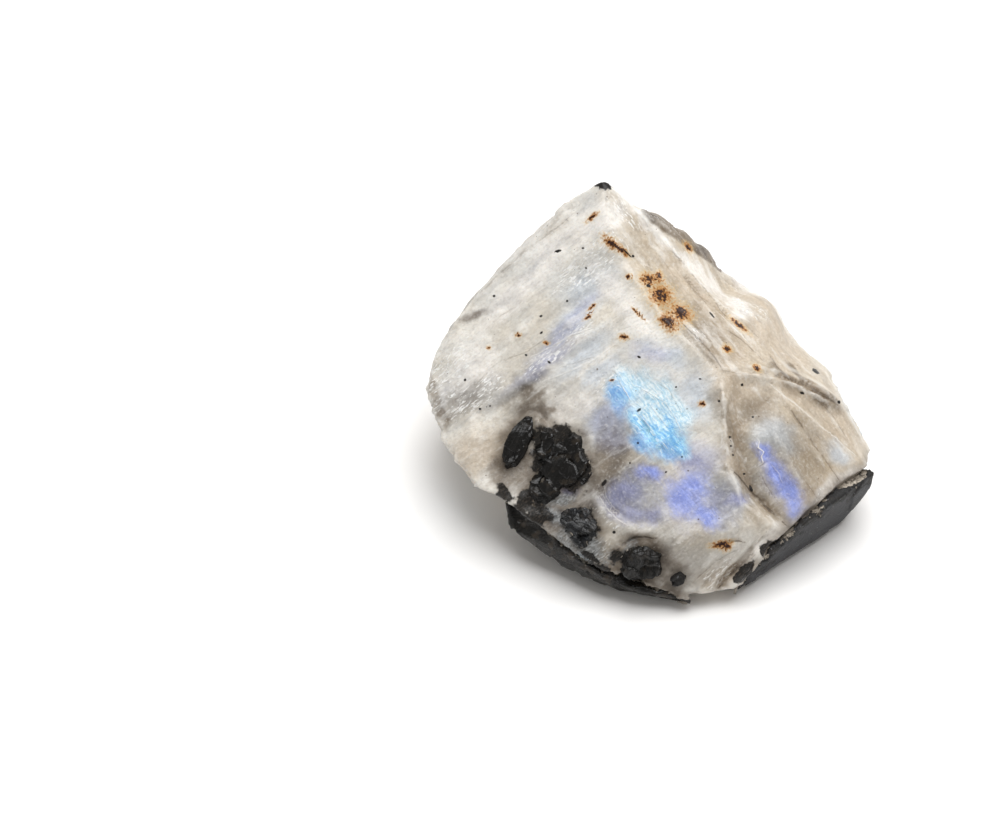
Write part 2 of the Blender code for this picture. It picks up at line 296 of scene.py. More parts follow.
def beside(points, line):
    """How far points lie from a line of places, where along it, and on which side of it."""
    gap = np.full(len(points), 1e9)
    along = np.zeros(len(points))
    side = np.zeros(len(points))
    for i, (a, b) in enumerate(zip(line, line[1:])):
        start, run = np.array(a), np.array(b - a)
        if not run.any():
            continue
        share = np.clip((points - start) @ run / (run @ run), 0.0, 1.0)
        off = points - start - share[:, None] * run
        here = np.linalg.norm(off, axis=1)
        nearer = here < gap
        gap[nearer] = here[nearer]
        along[nearer] = (i + share[nearer]) / (len(line) - 1)
        side[nearer] = np.sign(off[nearer] @ np.cross(SIGHT, run))
    return gap, along, side


print("the tip is at", [round(c, 1) for c in seen_at(603, 190)], "mm")

# %% [markdown]
# ## Cleavage
# Feldspar splits along flat planes that keep their directions all through the crystal, so every
# broken face is a staircase of thin sheets whose edges run one way. Each face gets a frame of
# its own: along its lines, across them, and out of the face. A point of the skin takes the frame
# of the face that it looks along with, and its place in that frame is its grain. A pattern that
# is stretched in the grain then runs the right way on every side of the stone.

# %% Grain
# Each: a pixel on the face, and two pixels that one of its lines runs between.
FACES_IN_VIEW = {
    "front": ((560, 320), (470, 424), (590, 331)),
    "right": ((740, 330), (650, 285), (712, 360)),
    "lower_right": ((800, 440), (802, 426), (835, 474)),
    "apron": ((700, 565), (718, 585), (754, 549)),
}
# Each: which way the face looks. They take the lines of the front and the right face in turn.
FACES_OUT_OF_VIEW = {
    "back_left": (-0.6, 0.75, 0.25), "back_right": (0.55, 0.8, 0.2), "left": (-0.9, -0.2, 0.1),
    "below_left": (-0.6, -0.4, -0.7), "below": (0.2, -0.2, -1.0),
}
FACE_APART = 40.0
AIM_ROUNDS = 25


def face_frame(out, run):
    """The directions along a face's lines, across them, and out of the face."""
    out = out.normalized()
    run = (run - out * run.dot(out)).normalized()
    return [list(run), list(out.cross(run)), list(out)]


out = lump.normals()
lump_out = lump.smoothed(out, AIM_ROUNDS)
frames = []
for place, start, end in FACES_IN_VIEW.values():
    closest = np.argmin(np.linalg.norm(lump.points - np.array(seen_at(*place)), axis=1))
    frames.append(face_frame(Vector(lump_out[closest]), seen_at(*end) - seen_at(*start)))
runs = [Vector(frames[0][0]), Vector(frames[1][0])]
for index, direction in enumerate(FACES_OUT_OF_VIEW.values()):
    frames.append(face_frame(Vector(direction), runs[index % 2]))
frames = np.array(frames)
face = (lump_out @ frames[:, 2].T).argmax(axis=1)
grain = np.einsum("pj,pij->pi", lump.points, frames[face])
grain[:, 2] += FACE_APART * face
print("points on each face:", dict(zip([*FACES_IN_VIEW, *FACES_OUT_OF_VIEW], np.bincount(face))))

# %% [markdown]
# ## Rubbed ground behind the crest
# The CAD solid folds sharply behind the crest, where the real stone is rubbed round and bulges a
# little. Averaging each point with its neighbours rounds a fold off. The bulges are soft
# ellipses, which are also the brush for all the colours further down.

# %% Wear and bulges
# The heights in mm between which the shaping sets in, so that the flat spot stays flat.
NEAR_FLOOR = (0.2, 1.2)
BEYOND_CREST = [(757, 327), (719, 301), (687, 269), (665, 238), (645, 213)]
# How far beyond that line, in mm, the wear sets in and fades out; the fading is counted down.
WEAR_STARTS, WEAR_ENDS, WEAR_ROUNDS = (0.2, 1.0), (-6.0, -4.0), 60
# Each bulge of the outline: pixel across, pixel down, half length, half width, tilt, height in mm.
BULGES = [(679, 248, 66, 34, -42, 1.5), (757, 316, 46, 34, -42, 1.6)]
OUTLINE_OUT = 0.7 * np.array(ACROSS) + 0.7 * np.array(UP)
ELLIPSE_DEPTH = 3.0
NOWHERE = (0, 0, -99)


def ease(values, low, high):
    """A soft step from 0 at low to 1 at high."""
    t = np.clip((values - low) / (high - low), 0.0, 1.0)
    return t * t * (3 - 2 * t)


def ellipse_field(points, px, py, long, wide, tilt):
    """1 in the middle and 0 at the rim of an ellipse that faces the viewer."""
    turn = math.radians(tilt)
    long, wide = long / PIXELS_PER_MM, wide / PIXELS_PER_MM
    off = points - np.array(seen_at(px, py) or NOWHERE)
    x, y, z = off @ np.array(ACROSS), off @ np.array(UP), off @ np.array(SIGHT)
    u = (x * math.cos(turn) + y * math.sin(turn)) / long
    v = (-x * math.sin(turn) + y * math.cos(turn)) / wide
    return 1 - np.sqrt(u * u + v * v + (z / (ELLIPSE_DEPTH + long)) ** 2)


stand = ease(lump.points[:, 2], *NEAR_FLOOR)[:, None]
gap, along, side = beside(lump.points, lay(BEYOND_CREST))
worn = ease(gap * side, *WEAR_STARTS) * ease(-gap, *WEAR_ENDS) * ((along > 0) & (along < 1))
even = lump.smoothed(lump.points, WEAR_ROUNDS)
lump.points = lump.points + worn[:, None] * (even - lump.points)
for *ellipse, bulge in BULGES:
    push = bulge * ease(ellipse_field(lump.points, *ellipse), 0.0, 1.0)
    lump.points = lump.points + push[:, None] * OUTLINE_OUT
print("worn round behind the crest:", int((worn > 0.5).sum()), "points")

# %% [markdown]
# ## Sheets
# The steps between the sheets are too many to draw. A saw-tooth across the grain makes them: it
# rises slowly and drops at once, like one sheet that ends on the next. Noise bends the steps, and
# lets them show only in patches. A little noise on top roughens the skin.

# %% Sheets
# Each: the faces, spacing in mm, how high the edges stand, size of the patches where they show.
SHEETS = [
    ((0,), 3.4, 0.16, 4.0), ((0,), 0.9, 0.05, 2.5),
    ((1, 2, 3), 1.7, 0.13, 4.0), ((1, 2, 3), 0.6, 0.06, 2.5),
    ((4, 5, 6, 7, 8), 2.6, 0.34, 4.0), ((4, 5, 6, 7, 8), 0.7, 0.1, 2.5),
]
BEND_STRETCH, BEND_SIZE = (0.3, 1, 1), 4.0
PATCH_RIM = (-0.15, 0.35)
WAVE_HEIGHT, WAVE_SIZE, WAVE_STRETCH, WAVE_SEED = 0.07, 1.6, (0.35, 1, 1), 21.0
PIT_HEIGHT, PIT_WIDTH, LUMP_PIT_SEED = 0.03, 0.8, 22.0


def rough(points, size, seed=0.0, layers=3):
    """Noise from about -1 to 1 with lumps of a size."""
    shift = Vector((seed, seed * 0.7, -seed))
    return np.array([noise.fractal(Vector(p) / size + shift, 1.0, 2.0, layers) for p in points])


def saw(spacing):
    """The saw-tooth of sheets that end one after the other, from -0.5 to 0.5."""
    level = grain[:, 1] / spacing + 0.5 * rough(grain * BEND_STRETCH, BEND_SIZE, spacing)
    return level - np.floor(level) - 0.5


def patches(size, seed):
    """Where an effect is strong, from 0 to 1."""
    return ease(rough(lump.points, size, seed), *PATCH_RIM)


height = np.zeros(len(lump.points))
for of_faces, spacing, edge, patch_size in SHEETS:
    height += np.isin(face, of_faces) * edge * saw(spacing) * patches(patch_size, spacing)
waves = WAVE_HEIGHT * rough(grain * WAVE_STRETCH, WAVE_SIZE, WAVE_SEED)
height += waves + PIT_HEIGHT * rough(lump.points, PIT_WIDTH, LUMP_PIT_SEED)
lump.points = lump.points + out * height[:, None] * stand
print("sheets move the skin by up to", round(float(np.abs(height).max()), 2), "mm")

# %% [markdown]
# ## Seams, ledges and lobes
# The large breaks that give the stone its face are too special for noise, so each is drawn along
# its pixels. A line is a groove or a rib. A step is a sheet edge, high on one side and low on the
# other. The sides that the picture doesn't show get a few steps by seeded chance.

# %% Seams, ledges and lobes, drawn one by one
# Each: pixels, depth in mm (below 0 is cut in), half width in mm, kind.
DRAWN = {
    "valley": ([(668, 316), (684, 333), (700, 350), (716, 368)], -0.3, 0.25, "line"),
    "bar": ([(682, 319), (697, 333), (713, 348)], 0.22, 0.4, "line"),
    "crest": (
        [(609, 183), (642, 213), (665, 241), (687, 272), (719, 304), (757, 330)], 0.14, 0.4, "line",
    ),
    "crest_foot": ([(640, 222), (668, 256), (702, 296), (742, 330)], -0.16, 0.2, "line"),
    "rib_1": ([(628, 236), (660, 274), (700, 320), (730, 350)], 0.1, 0.22, "line"),
    "rib_2": ([(644, 240), (676, 276), (712, 314), (748, 346)], 0.12, 0.22, "line"),
    "rib_3": ([(700, 318), (726, 344), (750, 362)], -0.14, 0.2, "line"),
    "rib_4": ([(724, 300), (752, 326), (786, 346)], -0.14, 0.2, "line"),
    "ledge": ([(722, 372), (746, 370), (769, 374), (802, 383), (838, 404)], -0.26, 0.22, "line"),
    "ledge_lip": ([(742, 364), (772, 370), (804, 379), (838, 399)], 0.14, 0.3, "line"),
    "groove": (
        [(729, 398), (733, 420), (735, 440), (743, 469), (755, 496), (789, 526)], -0.2, 0.35, "line",
    ),
    "right_seam": ([(770, 385), (802, 426), (836, 474)], -0.14, 0.22, "line"),
    "right_rib": ([(756, 376), (800, 412), (838, 452)], 0.12, 0.3, "line"),
    "right_crack": ([(802, 440), (818, 466), (828, 488)], -0.12, 0.2, "line"),
    "lobe_cleft": ([(716, 588), (736, 566), (755, 548), (770, 534)], -0.5, 0.4, "line"),
    "lobe": ([(730, 588), (748, 570), (764, 553)], 0.3, 0.7, "line"),
    "lobe_cleft_2": ([(700, 590), (712, 577), (724, 566)], -0.2, 0.3, "line"),
    "scoop_rim": ([(594, 486), (601, 502), (614, 516), (634, 527), (662, 526)], 0.24, 0.35, "step"),
    "scoop_ring": ([(606, 482), (612, 498), (626, 510), (644, 516)], 0.1, 0.22, "step"),
    "flash_rim": ([(622, 380), (634, 404), (640, 428), (654, 452), (676, 460)], 0.1, 0.25, "step"),
    "front_fold": ([(470, 424), (520, 390), (560, 360), (600, 334)], -0.18, 0.3, "step"),
    "front_fold_2": ([(500, 352), (540, 322), (590, 286)], -0.12, 0.3, "step"),
    "front_fold_3": ([(520, 420), (556, 392), (596, 366)], -0.12, 0.25, "step"),
    "left_fold": ([(452, 400), (480, 372), (512, 342)], 0.12, 0.3, "step"),
    "arc_pit": ([(618, 546), (634, 539), (652, 538)], -0.25, 0.4, "line"),
    "crack": ([(712, 548), (726, 542), (742, 540)], -0.22, 0.2, "line"),
    "flank_flash_rim": ([(756, 436), (764, 456), (780, 486), (792, 508)], 0.12, 0.2, "step"),
}
HIDDEN_STEPS, HIDDEN_STEP_SEED = 12, 4
HIDDEN_LENGTHS, HIDDEN_DEPTHS, HIDDEN_HALF_WIDTH = (6, 14), (0.2, 0.4), 0.25
WELL_AWAY = (0.1, 2)
END_THIN, END_LEFT = 8, 0.15
WAVE_SHARE, STEP_REACH = 0.5, 3


def out_of_view(turned, above):
    """The points that face away from the viewer and lie above a height."""
    return np.flatnonzero((lump_out @ np.array(SIGHT) > turned) & (lump.points[:, 2] > above))


def trace(index, length):
    """A line of places on the stone that runs off along the grain from a point of the skin."""
    start, run = lump.points[index], frames[face[index]][0]
    steps = np.arange(0.0, length, LAY_STEP / PIXELS_PER_MM)
    return [lump_tree.find_nearest(Vector(start + run * step))[0] for step in steps]


def drawn_height(points, places, depth, width, kind):
    """How far a drawn line moves each point out."""
    gap, along, side = beside(points, places)
    ends = np.clip(END_THIN * along * (1 - along) + END_LEFT, 0.0, 1.0)
    wave = 1 + WAVE_SHARE * rough(points, 1.5, width * 40)
    if kind == "line":
        return depth * wave * ends * np.exp(-((gap / width) ** 2))
    fall = np.exp(-((gap / (STEP_REACH * width)) ** 2))
    return depth * wave * ends * np.tanh(side * gap / width) * fall


out = lump.normals()
chance = np.random.default_rng(HIDDEN_STEP_SEED)
drawn = [(lay(pixels), depth, width, kind) for pixels, depth, width, kind in DRAWN.values()]
for index in chance.choice(out_of_view(*WELL_AWAY), HIDDEN_STEPS):
    places = trace(index, chance.uniform(*HIDDEN_LENGTHS))
    drawn.append((places, chance.uniform(*HIDDEN_DEPTHS), HIDDEN_HALF_WIDTH, "step"))
for line in drawn:
    height = drawn_height(lump.points, *line)
    lump.points = lump.points + out * height[:, None] * stand
lump.points[:, 2] = np.maximum(lump.points[:, 2], 0.0)
lump_tree = lump.tree()
print(len(drawn), "drawn lines on the lump")

# %% [markdown]
# ## Hollows and edges
# The material paints hollows darker, as painted shade, and edges lighter, as painted highlight.
# How far a point stands out from the average of the skin round it tells the two apart, and the
# material uses that number later.

# %% Hollows and edges
BEND_ROUNDS = 14
even = lump.smoothed(lump.points, BEND_ROUNDS)
bend = ((lump.points - even) * lump.normals()).sum(axis=1)
print("bend from", round(float(bend.min()), 2), "to", round(float(bend.max()), 2), "mm")

# %% [markdown]
# ## Where the colours lie
# Moonstone glows where thin layers inside it send light back, and the glow fades out at the edge
# of each crystal grain. The painted glows and shades, the veils and the stains are soft ellipses
# and strokes that were measured in the picture. Each gives a number that is 1 in its middle and 0
# at its rim. An image laid over the stone would be quicker, but would only fit the side that the
# picture shows.

# %% Places of the colours
# Each ellipse: pixel across, pixel down, half length and half width in pixels, tilt in degrees.
ELLIPSES = {
    "shine": [
        (630, 384, 28, 16, -35), (656, 393, 40, 20, -40), (678, 410, 26, 17, -50),
        (650, 410, 26, 15, -40),
    ],
    "cyan": [
        (660, 428, 44, 33, -50), (674, 442, 26, 20, -50), (642, 424, 28, 15, -60),
        (624, 388, 24, 18, 0),
    ],
    "sky": [(617, 398, 28, 14, -80), (641, 443, 22, 11, -50), (667, 453, 18, 11, -40)],
    "lavender": [
        (574, 316, 56, 9, 42), (560, 340, 50, 8, 40), (604, 420, 34, 26, 20), (700, 455, 34, 20, -10),
        (650, 352, 30, 14, -10), (612, 440, 30, 20, 0), (724, 505, 24, 30, 0), (542, 366, 60, 10, 38),
    ],
    "blue": [
        (683, 500, 28, 22, -60), (694, 484, 24, 16, -20), (705, 516, 20, 13, -30),
        (652, 471, 18, 9, -20), (764, 453, 17, 10, -60), (776, 472, 26, 14, -58),
        (788, 492, 28, 15, -60), (794, 506, 18, 14, -60),
    ],
    "violet": [
        (634, 514, 30, 15, 0), (650, 474, 24, 13, -20), (690, 500, 42, 36, -30),
        (652, 514, 22, 14, 0), (785, 488, 48, 21, -60), (737, 500, 14, 10, 0), (568, 490, 12, 7, 0),
        (690, 462, 34, 15, -20), (626, 494, 30, 24, 20),
    ],
    "haze": [
        (585, 352, 56, 18, 38), (692, 398, 30, 40, 0), (640, 405, 74, 54, -45),
        (590, 286, 50, 28, 42), (574, 318, 46, 18, 42), (600, 372, 44, 16, 36), (606, 420, 40, 36, 0),
        (628, 492, 44, 34, 20), (838, 455, 24, 14, -42), (776, 436, 38, 28, -30),
        (672, 356, 24, 14, -40), (720, 500, 40, 36, 0), (648, 346, 20, 12, 0),
    ],
    "milk": [
        (474, 366, 30, 24, 40), (598, 222, 50, 20, 30), (520, 292, 70, 16, 42),
        (572, 408, 30, 15, 20), (740, 308, 28, 11, -45), (702, 276, 44, 9, -42),
        (622, 300, 60, 17, -50), (648, 222, 46, 7, -47), (697, 335, 17, 7, -46),
        (556, 246, 46, 14, 40), (580, 404, 28, 16, 30),
    ],
    "smoke": [
        (528, 378, 86, 12, 36), (552, 340, 66, 8, 42), (444, 398, 36, 12, 80), (540, 262, 80, 5, 43),
        (470, 296, 30, 6, 52), (620, 500, 60, 36, 10), (616, 440, 30, 34, 0), (476, 315, 24, 9, 20),
        (468, 392, 56, 26, 30), (556, 524, 26, 40, -30), (640, 470, 40, 20, 0),
    ],
    "tan": [
        (724, 346, 50, 28, -45), (806, 350, 56, 18, -48), (740, 390, 60, 34, -30),
        (800, 396, 60, 20, -35), (480, 452, 60, 34, 20), (840, 430, 50, 26, -60),
        (735, 450, 18, 70, 5), (810, 500, 50, 20, 35), (728, 574, 50, 22, 20),
        (700, 300, 90, 12, -49), (766, 306, 30, 12, -50), (790, 350, 40, 14, -50),
        (768, 330, 76, 30, -45),
    ],
    # Painted shade: the lower parts of the stone, where less light falls, are painted darker.
    "painted_shade": [
        (752, 412, 30, 20, 0), (466, 402, 50, 22, 30), (722, 496, 34, 46, 0), (630, 476, 44, 60, 0),
        (697, 326, 66, 30, -47), (668, 300, 34, 24, -47), (640, 552, 150, 52, 0),
        (612, 492, 70, 60, 0), (530, 442, 70, 46, 30), (744, 462, 26, 90, 10), (790, 462, 60, 60, 0),
        (560, 500, 70, 50, 0), (526, 396, 50, 26, 30),
    ],
    # Dark: partly dark translucent feldspar round the crystals, partly painted shade along the lower left
    # edge and behind the crest.
    "dark": [
        (606, 462, 30, 46, 0), (547, 436, 18, 18, 0), (514, 484, 26, 20, -40), (533, 398, 24, 13, 35),
        (575, 545, 70, 34, -35), (545, 470, 60, 46, 20), (640, 560, 60, 26, 0), (597, 482, 18, 18, 0),
        (616, 454, 20, 22, 0), (474, 316, 20, 8, 20), (520, 480, 26, 40, -40), (650, 216, 16, 8, -40),
        (700, 250, 12, 8, -40),
    ],
    "sparkle": [
        (592, 262, 60, 26, 40), (556, 352, 60, 14, 40), (470, 400, 50, 20, 40),
        (662, 420, 40, 30, -50), (610, 380, 24, 16, 30), (590, 546, 36, 20, -20),
        (450, 366, 34, 26, 60), (436, 380, 12, 50, 0), (697, 335, 17, 7, -44), (640, 556, 24, 10, 0),
        (626, 214, 30, 12, -40), (750, 308, 34, 12, -40), (815, 505, 44, 8, 40),
        (720, 572, 30, 14, 40), (610, 520, 30, 8, -40),
    ],
    "ice": [
        (590, 549, 32, 19, -38), (632, 556, 14, 14, 30), (564, 526, 32, 9, -52),
        (568, 546, 20, 10, -40), (560, 500, 16, 8, 20),
    ],
    "ink": [
        (549, 440, 30, 24, 20), (532, 508, 26, 18, -50), (508, 494, 14, 8, -40),
        (552, 462, 22, 26, 40), (543, 494, 20, 15, 20), (580, 470, 16, 24, 0),
        (580, 522, 24, 17, -30), (632, 563, 27, 15, -10), (604, 571, 26, 8, -20),
    ],
}
# Each stroke: pixels, half width in pixels.
STROKES = {
    # Dark strokes: painted shade along the overhanging lower left edge and under the ledge; along the left
    # border partly painted shade, partly dark stone.
    "dark": [([(500, 470), (524, 496), (550, 524), (590, 562), (640, 588), (690, 602)], 18),
             ([(442, 332), (433, 352), (430, 376), (434, 400), (446, 424)], 9),
             ([(790, 366), (806, 380), (838, 402)], 7), ([(524, 388), (536, 402), (548, 412)], 8)],
    "ink": [([(500, 497), (520, 513), (540, 530), (565, 553), (597, 573), (640, 590), (690, 602)], 9),
            ([(584, 553), (594, 560), (606, 568), (620, 574)], 5),
            ([(872, 474), (846, 486), (838, 494), (824, 504), (812, 516), (790, 530), (768, 546),
              (750, 562),
              (738, 584)], 7)],
    "milk": [([(862, 470), (836, 486), (812, 508), (784, 526), (762, 542), (744, 560)], 11)],
    # Painted shade in the groove, in the lobe clefts and under the ledge.
    "painted_shade": [([(716, 398), (729, 420), (732, 446), (740, 474), (752, 492), (768, 510), (788, 527)], 14),
            ([(752, 552), (736, 566), (716, 586)], 9), ([(770, 366), (800, 386), (838, 408)], 8)],
}
# Each: how many patches on the sides that the picture doesn't show, and their radii in mm.
HIDDEN_PATCHES = {
    "milk": (9, 2.0, 5.0), "haze": (6, 2.0, 5.0), "tan": (7, 2.0, 5.0), "smoke": (7, 1.5, 4.0),
    "painted_shade": (5, 3.0, 6.0), "sparkle": (12, 2.0, 4.0), "violet": (6, 1.8, 3.8), "blue": (5, 1.2, 2.8),
    "cyan": (2, 1.6, 2.6), "shine": (2, 1.2, 2.0), "dark": (6, 1.0, 2.5), "ink": (5, 0.6, 1.4),
    "ice": (4, 1.0, 2.0), "sky": (2, 1.0, 1.8), "lavender": (6, 2.0, 4.0),
}
print(sum(len(ellipses) for ellipses in ELLIPSES.values()), "ellipses of", len(ELLIPSES), "kinds")

# %% [markdown]
# ## From places to fields
# Every kind of colour becomes one number for each point of the skin, and the nearest ellipse,
# stroke or patch wins. The points are shaken a little first, so that no ellipse looks like one.
# Two narrow bands run along the crest and the upper left edge, where the stone falls away into
# shade; the material paints them darker there, as painted shade.

# %% Colour fields
FIELD_WARP, WARP_SIZE, WARP_SEEDS = 0.5, 1.6, (51.0, 52.0, 53.0)
PATCH_SEED = 11
TURNED_AWAY = (0.05, 1.5)
PATCH_SHAPE = np.array((1.5, 0.7, 1.0))
# Bands that are painted darker, as painted shade, where the stone falls away behind these lines.
BANDS = {
    "crest_side": [(722, 274), (710, 264), (693, 252), (677, 241), (660, 231), (649, 222), (639, 209)],
    "left_side": [(575, 205), (540, 238), (505, 268), (470, 306), (440, 345)],
}
BAND_WIDTH, BAND_LEAST = 3.0, -3.0
FLANK_FACES, FLANK_ROUNDS = (1, 2), 60


def hidden_patches(points, number, smallest, largest):
    """1 in the middle and 0 at the rim of patches drawn out along the grain, out of view."""
    best = np.full(len(points), -1.0)
    for index in chance.choice(hidden, number):
        off = (points - lump.points[index]) @ frames[face[index]].T
        size = chance.uniform(smallest, largest)
        best = np.maximum(best, 1 - np.linalg.norm(off / (PATCH_SHAPE * size), axis=1))
    return best


def corner_grain(skin):
    """The grain at each corner of each square, so that no square mixes the grain of two faces."""
    square_face = face[skin.faces[:, 0]]
    corners = np.einsum("scj,sij->sci", skin.points[skin.faces], frames[square_face])
    corners[:, :, 2] += FACE_APART * square_face[:, None]
    return corners.reshape(-1, 3)


warp = np.stack([rough(lump.points, WARP_SIZE, seed) for seed in WARP_SEEDS], axis=1)
warped = lump.points + FIELD_WARP * warp
chance = np.random.default_rng(PATCH_SEED)
hidden = out_of_view(*TURNED_AWAY)
fields = {}
for label, ellipses in ELLIPSES.items():
    parts = [ellipse_field(warped, *ellipse) for ellipse in ellipses]
    for line, wide in STROKES.get(label, []):
        parts.append(1 - beside(warped, lay(line))[0] / (wide / PIXELS_PER_MM))
    parts.append(hidden_patches(warped, *HIDDEN_PATCHES[label]))
    fields[label] = np.maximum(np.max(parts, axis=0), -1.0)
for label, line in BANDS.items():
    gap, along, side = beside(lump.points, lay(line))
    band = np.minimum(gap * side, BAND_WIDTH - gap)
    fields[label] = np.where((along > 0) & (along < 1), np.maximum(band, BAND_LEAST), BAND_LEAST)
fields["bend"] = bend
fields["crystal_gap"] = crystal_gap
fields["flank"] = lump.averaged(np.isin(face, FLANK_FACES).astype(float), FLANK_ROUNDS)
fields["grain"] = corner_grain(lump)
print("fields:", ", ".join(fields))

# %% [markdown]
# ## Hairlines
# The cracks, step edges and scratches are only a tenth of a millimetre wide, much finer than the
# mesh. Their distance can still be stored at the points, with a sign for the side: it then runs
# evenly through 0 on the line itself, so the material can draw it as thin as it likes. Where two
# lines meet, the sign may jump, so the plain distance is stored as well, and the larger counts.

# %% Places of the hairlines
# Each: pixels, half width in pixels, strength.
# Dark hairlines: cracks, and painted shadow under the ledge, in the groove and in the lobe clefts.
DARK_LINES = {
    "ledge": ([(770, 356), (777, 367), (784, 375), (803, 383), (822, 394), (839, 407)], 1.8, 0.55),
    "ledge_deep": ([(784, 377), (796, 381), (808, 387)], 1.4, 0.6),
    "ledge_left": ([(723, 371), (738, 374), (756, 373), (771, 378), (781, 374)], 0.6, 0.2),
    "groove_top": ([(722, 372), (718, 385), (717, 398), (724, 412)], 0.6, 0.15),
    "groove": ([(731, 470), (740, 478), (752, 493), (768, 510), (788, 527)], 1.3, 0.7),
    "foot": (
        [(664, 240), (676, 256), (684, 264), (694, 277), (707, 291), (722, 312), (733, 323)], 0.7, 0.4,
    ),
    "foot_2": ([(672, 262), (688, 283), (706, 304), (722, 322)], 0.4, 0.3),
    "foot_3": ([(656, 252), (674, 276), (694, 300), (712, 322)], 0.4, 0.2),
    "rib": ([(700, 282), (722, 304), (744, 322), (758, 338)], 0.5, 0.25),
    "rib_2": ([(726, 330), (742, 340), (756, 352), (764, 362)], 0.5, 0.4),
    "bar": ([(680, 321), (694, 335), (709, 350), (722, 369)], 0.9, 0.5),
    "bar_2": ([(684, 318), (700, 330), (714, 344)], 0.4, 0.3),
    "seam": ([(790, 408), (802, 427), (812, 442), (824, 458), (839, 480)], 0.9, 0.35),
    "seam_2": ([(806, 390), (820, 402), (834, 418), (848, 440)], 0.4, 0.3),
    "seam_3": ([(800, 474), (812, 490), (818, 500)], 0.4, 0.3),
    "front": ([(453, 402), (474, 386), (497, 363), (528, 352), (556, 330)], 0.7, 0.22),
    "front_2": ([(516, 380), (548, 370), (574, 364), (594, 357)], 0.7, 0.18),
    "front_4": ([(486, 330), (500, 316), (516, 306)], 0.6, 0.18),
    "left": ([(474, 298), (500, 274), (524, 252), (546, 236), (575, 213)], 0.9, 0.28),
    "scratch": ([(637, 414), (646, 426), (656, 438), (665, 450)], 0.4, 0.4),
    "scratch_2": ([(658, 382), (668, 390), (676, 402), (682, 414)], 0.3, 0.35),
    "scratch_3": ([(646, 430), (654, 440), (660, 450)], 0.3, 0.3),
    "lobe": ([(757, 549), (744, 561), (730, 575), (716, 589)], 1.4, 0.7),
    "lobe_2": ([(771, 544), (758, 556), (747, 572), (740, 586)], 0.8, 0.5),
    "apron": ([(694, 582), (708, 568), (724, 556), (742, 548)], 0.6, 0.3),
    "mark": ([(720, 541), (727, 544), (737, 541), (744, 542)], 0.9, 0.8),
    "arc": ([(617, 550), (627, 542), (640, 537), (656, 538)], 1.3, 0.8),
    "arc_2": ([(604, 566), (610, 556), (618, 549)], 1.2, 0.7),
    "scoop": ([(596, 480), (602, 500), (614, 516), (630, 528)], 0.5, 0.25),
    "flash_edge": ([(754, 440), (758, 452), (757, 466), (766, 486), (780, 506)], 0.4, 0.3),
}
# Light hairlines: painted highlight along the crest, ribs, ledge, scoop and edges, and white scratches in
# the painted flash.
LIGHT_LINES = {
    "crest": ([(606, 184), (624, 197), (642, 215), (662, 237), (684, 262)], 2.2, 0.8),
    "crest_low": ([(684, 262), (702, 284), (724, 306), (756, 326)], 1.3, 0.5),
    "rib": ([(670, 250), (690, 272), (712, 296), (730, 316)], 0.7, 0.4),
    "rib_2": ([(712, 306), (732, 326), (750, 344)], 0.8, 0.4),
    "ledge": ([(770, 346), (780, 360), (790, 369), (806, 376), (826, 388), (838, 397)], 2.4, 0.35),
    "edge": ([(764, 380), (784, 396), (806, 413), (832, 436), (859, 458)], 1.0, 0.4),
    "jagged": (
        [(753, 434), (760, 441), (758, 448), (764, 452), (761, 457), (763, 463), (756, 468)], 0.6, 0.8,
    ),
    "flash": ([(772, 464), (780, 474), (783, 484)], 0.5, 0.3),
    "scoop": ([(599, 494), (607, 508), (617, 519), (629, 527)], 0.8, 0.4),
    "scoop_2": ([(603, 481), (606, 495), (615, 509), (626, 519)], 0.5, 0.25),
    "front": ([(530, 358), (552, 346), (574, 334), (596, 326)], 0.8, 0.4),
    "front_2": ([(540, 382), (566, 372), (590, 362), (616, 344)], 0.9, 0.35),
    "front_3": ([(552, 282), (572, 268), (592, 256)], 0.9, 0.3),
    "scratch": ([(638, 412), (648, 425), (658, 437), (668, 449)], 0.5, 0.8),
    "scratch_2": ([(618, 378), (624, 390), (631, 402)], 0.5, 0.7),
    "scratch_3": ([(632, 384), (648, 392), (664, 402)], 0.6, 0.6),
    "scratch_4": ([(644, 398), (656, 412), (668, 428)], 0.4, 0.6),
    "scratch_5": ([(660, 396), (672, 412), (682, 432)], 0.4, 0.6),
}
print(len(DARK_LINES), "dark and", len(LIGHT_LINES), "light hairlines")

# %% Hairline fields
HIDDEN_LINES = {"dark_line": 26, "light_line": 20}
HIDDEN_LINE_LENGTHS, HIDDEN_LINE_WIDTHS, HIDDEN_LINE_FORCES = (3.0, 12.0), (0.4, 1.0), (0.2, 0.6)
LINE_REACH = 40.0
LINE_WARP = 0.12
END_SPREAD, END_POWER = 2.5, 6


def line_fields(points, lines):
    """The signed and the sure distance from the nearest line, in half widths, and its strength."""
    signed, plain, sure, force = (np.full(len(points), LINE_REACH) for _ in range(4))
    for places, half, strength in lines:
        gap, along, side = beside(points, places)
        half = half / PIXELS_PER_MM
        gap = gap * (1 + END_SPREAD * np.abs(2 * along - 1) ** END_POWER) / half
        nearer = gap < plain
        plain[nearer] = gap[nearer]
        signed[nearer] = (gap * np.where(side == 0, 1, side))[nearer]
        sure[nearer] = gap[nearer] - LUMP_CELL / half
        force[nearer] = strength
    return signed, sure, force


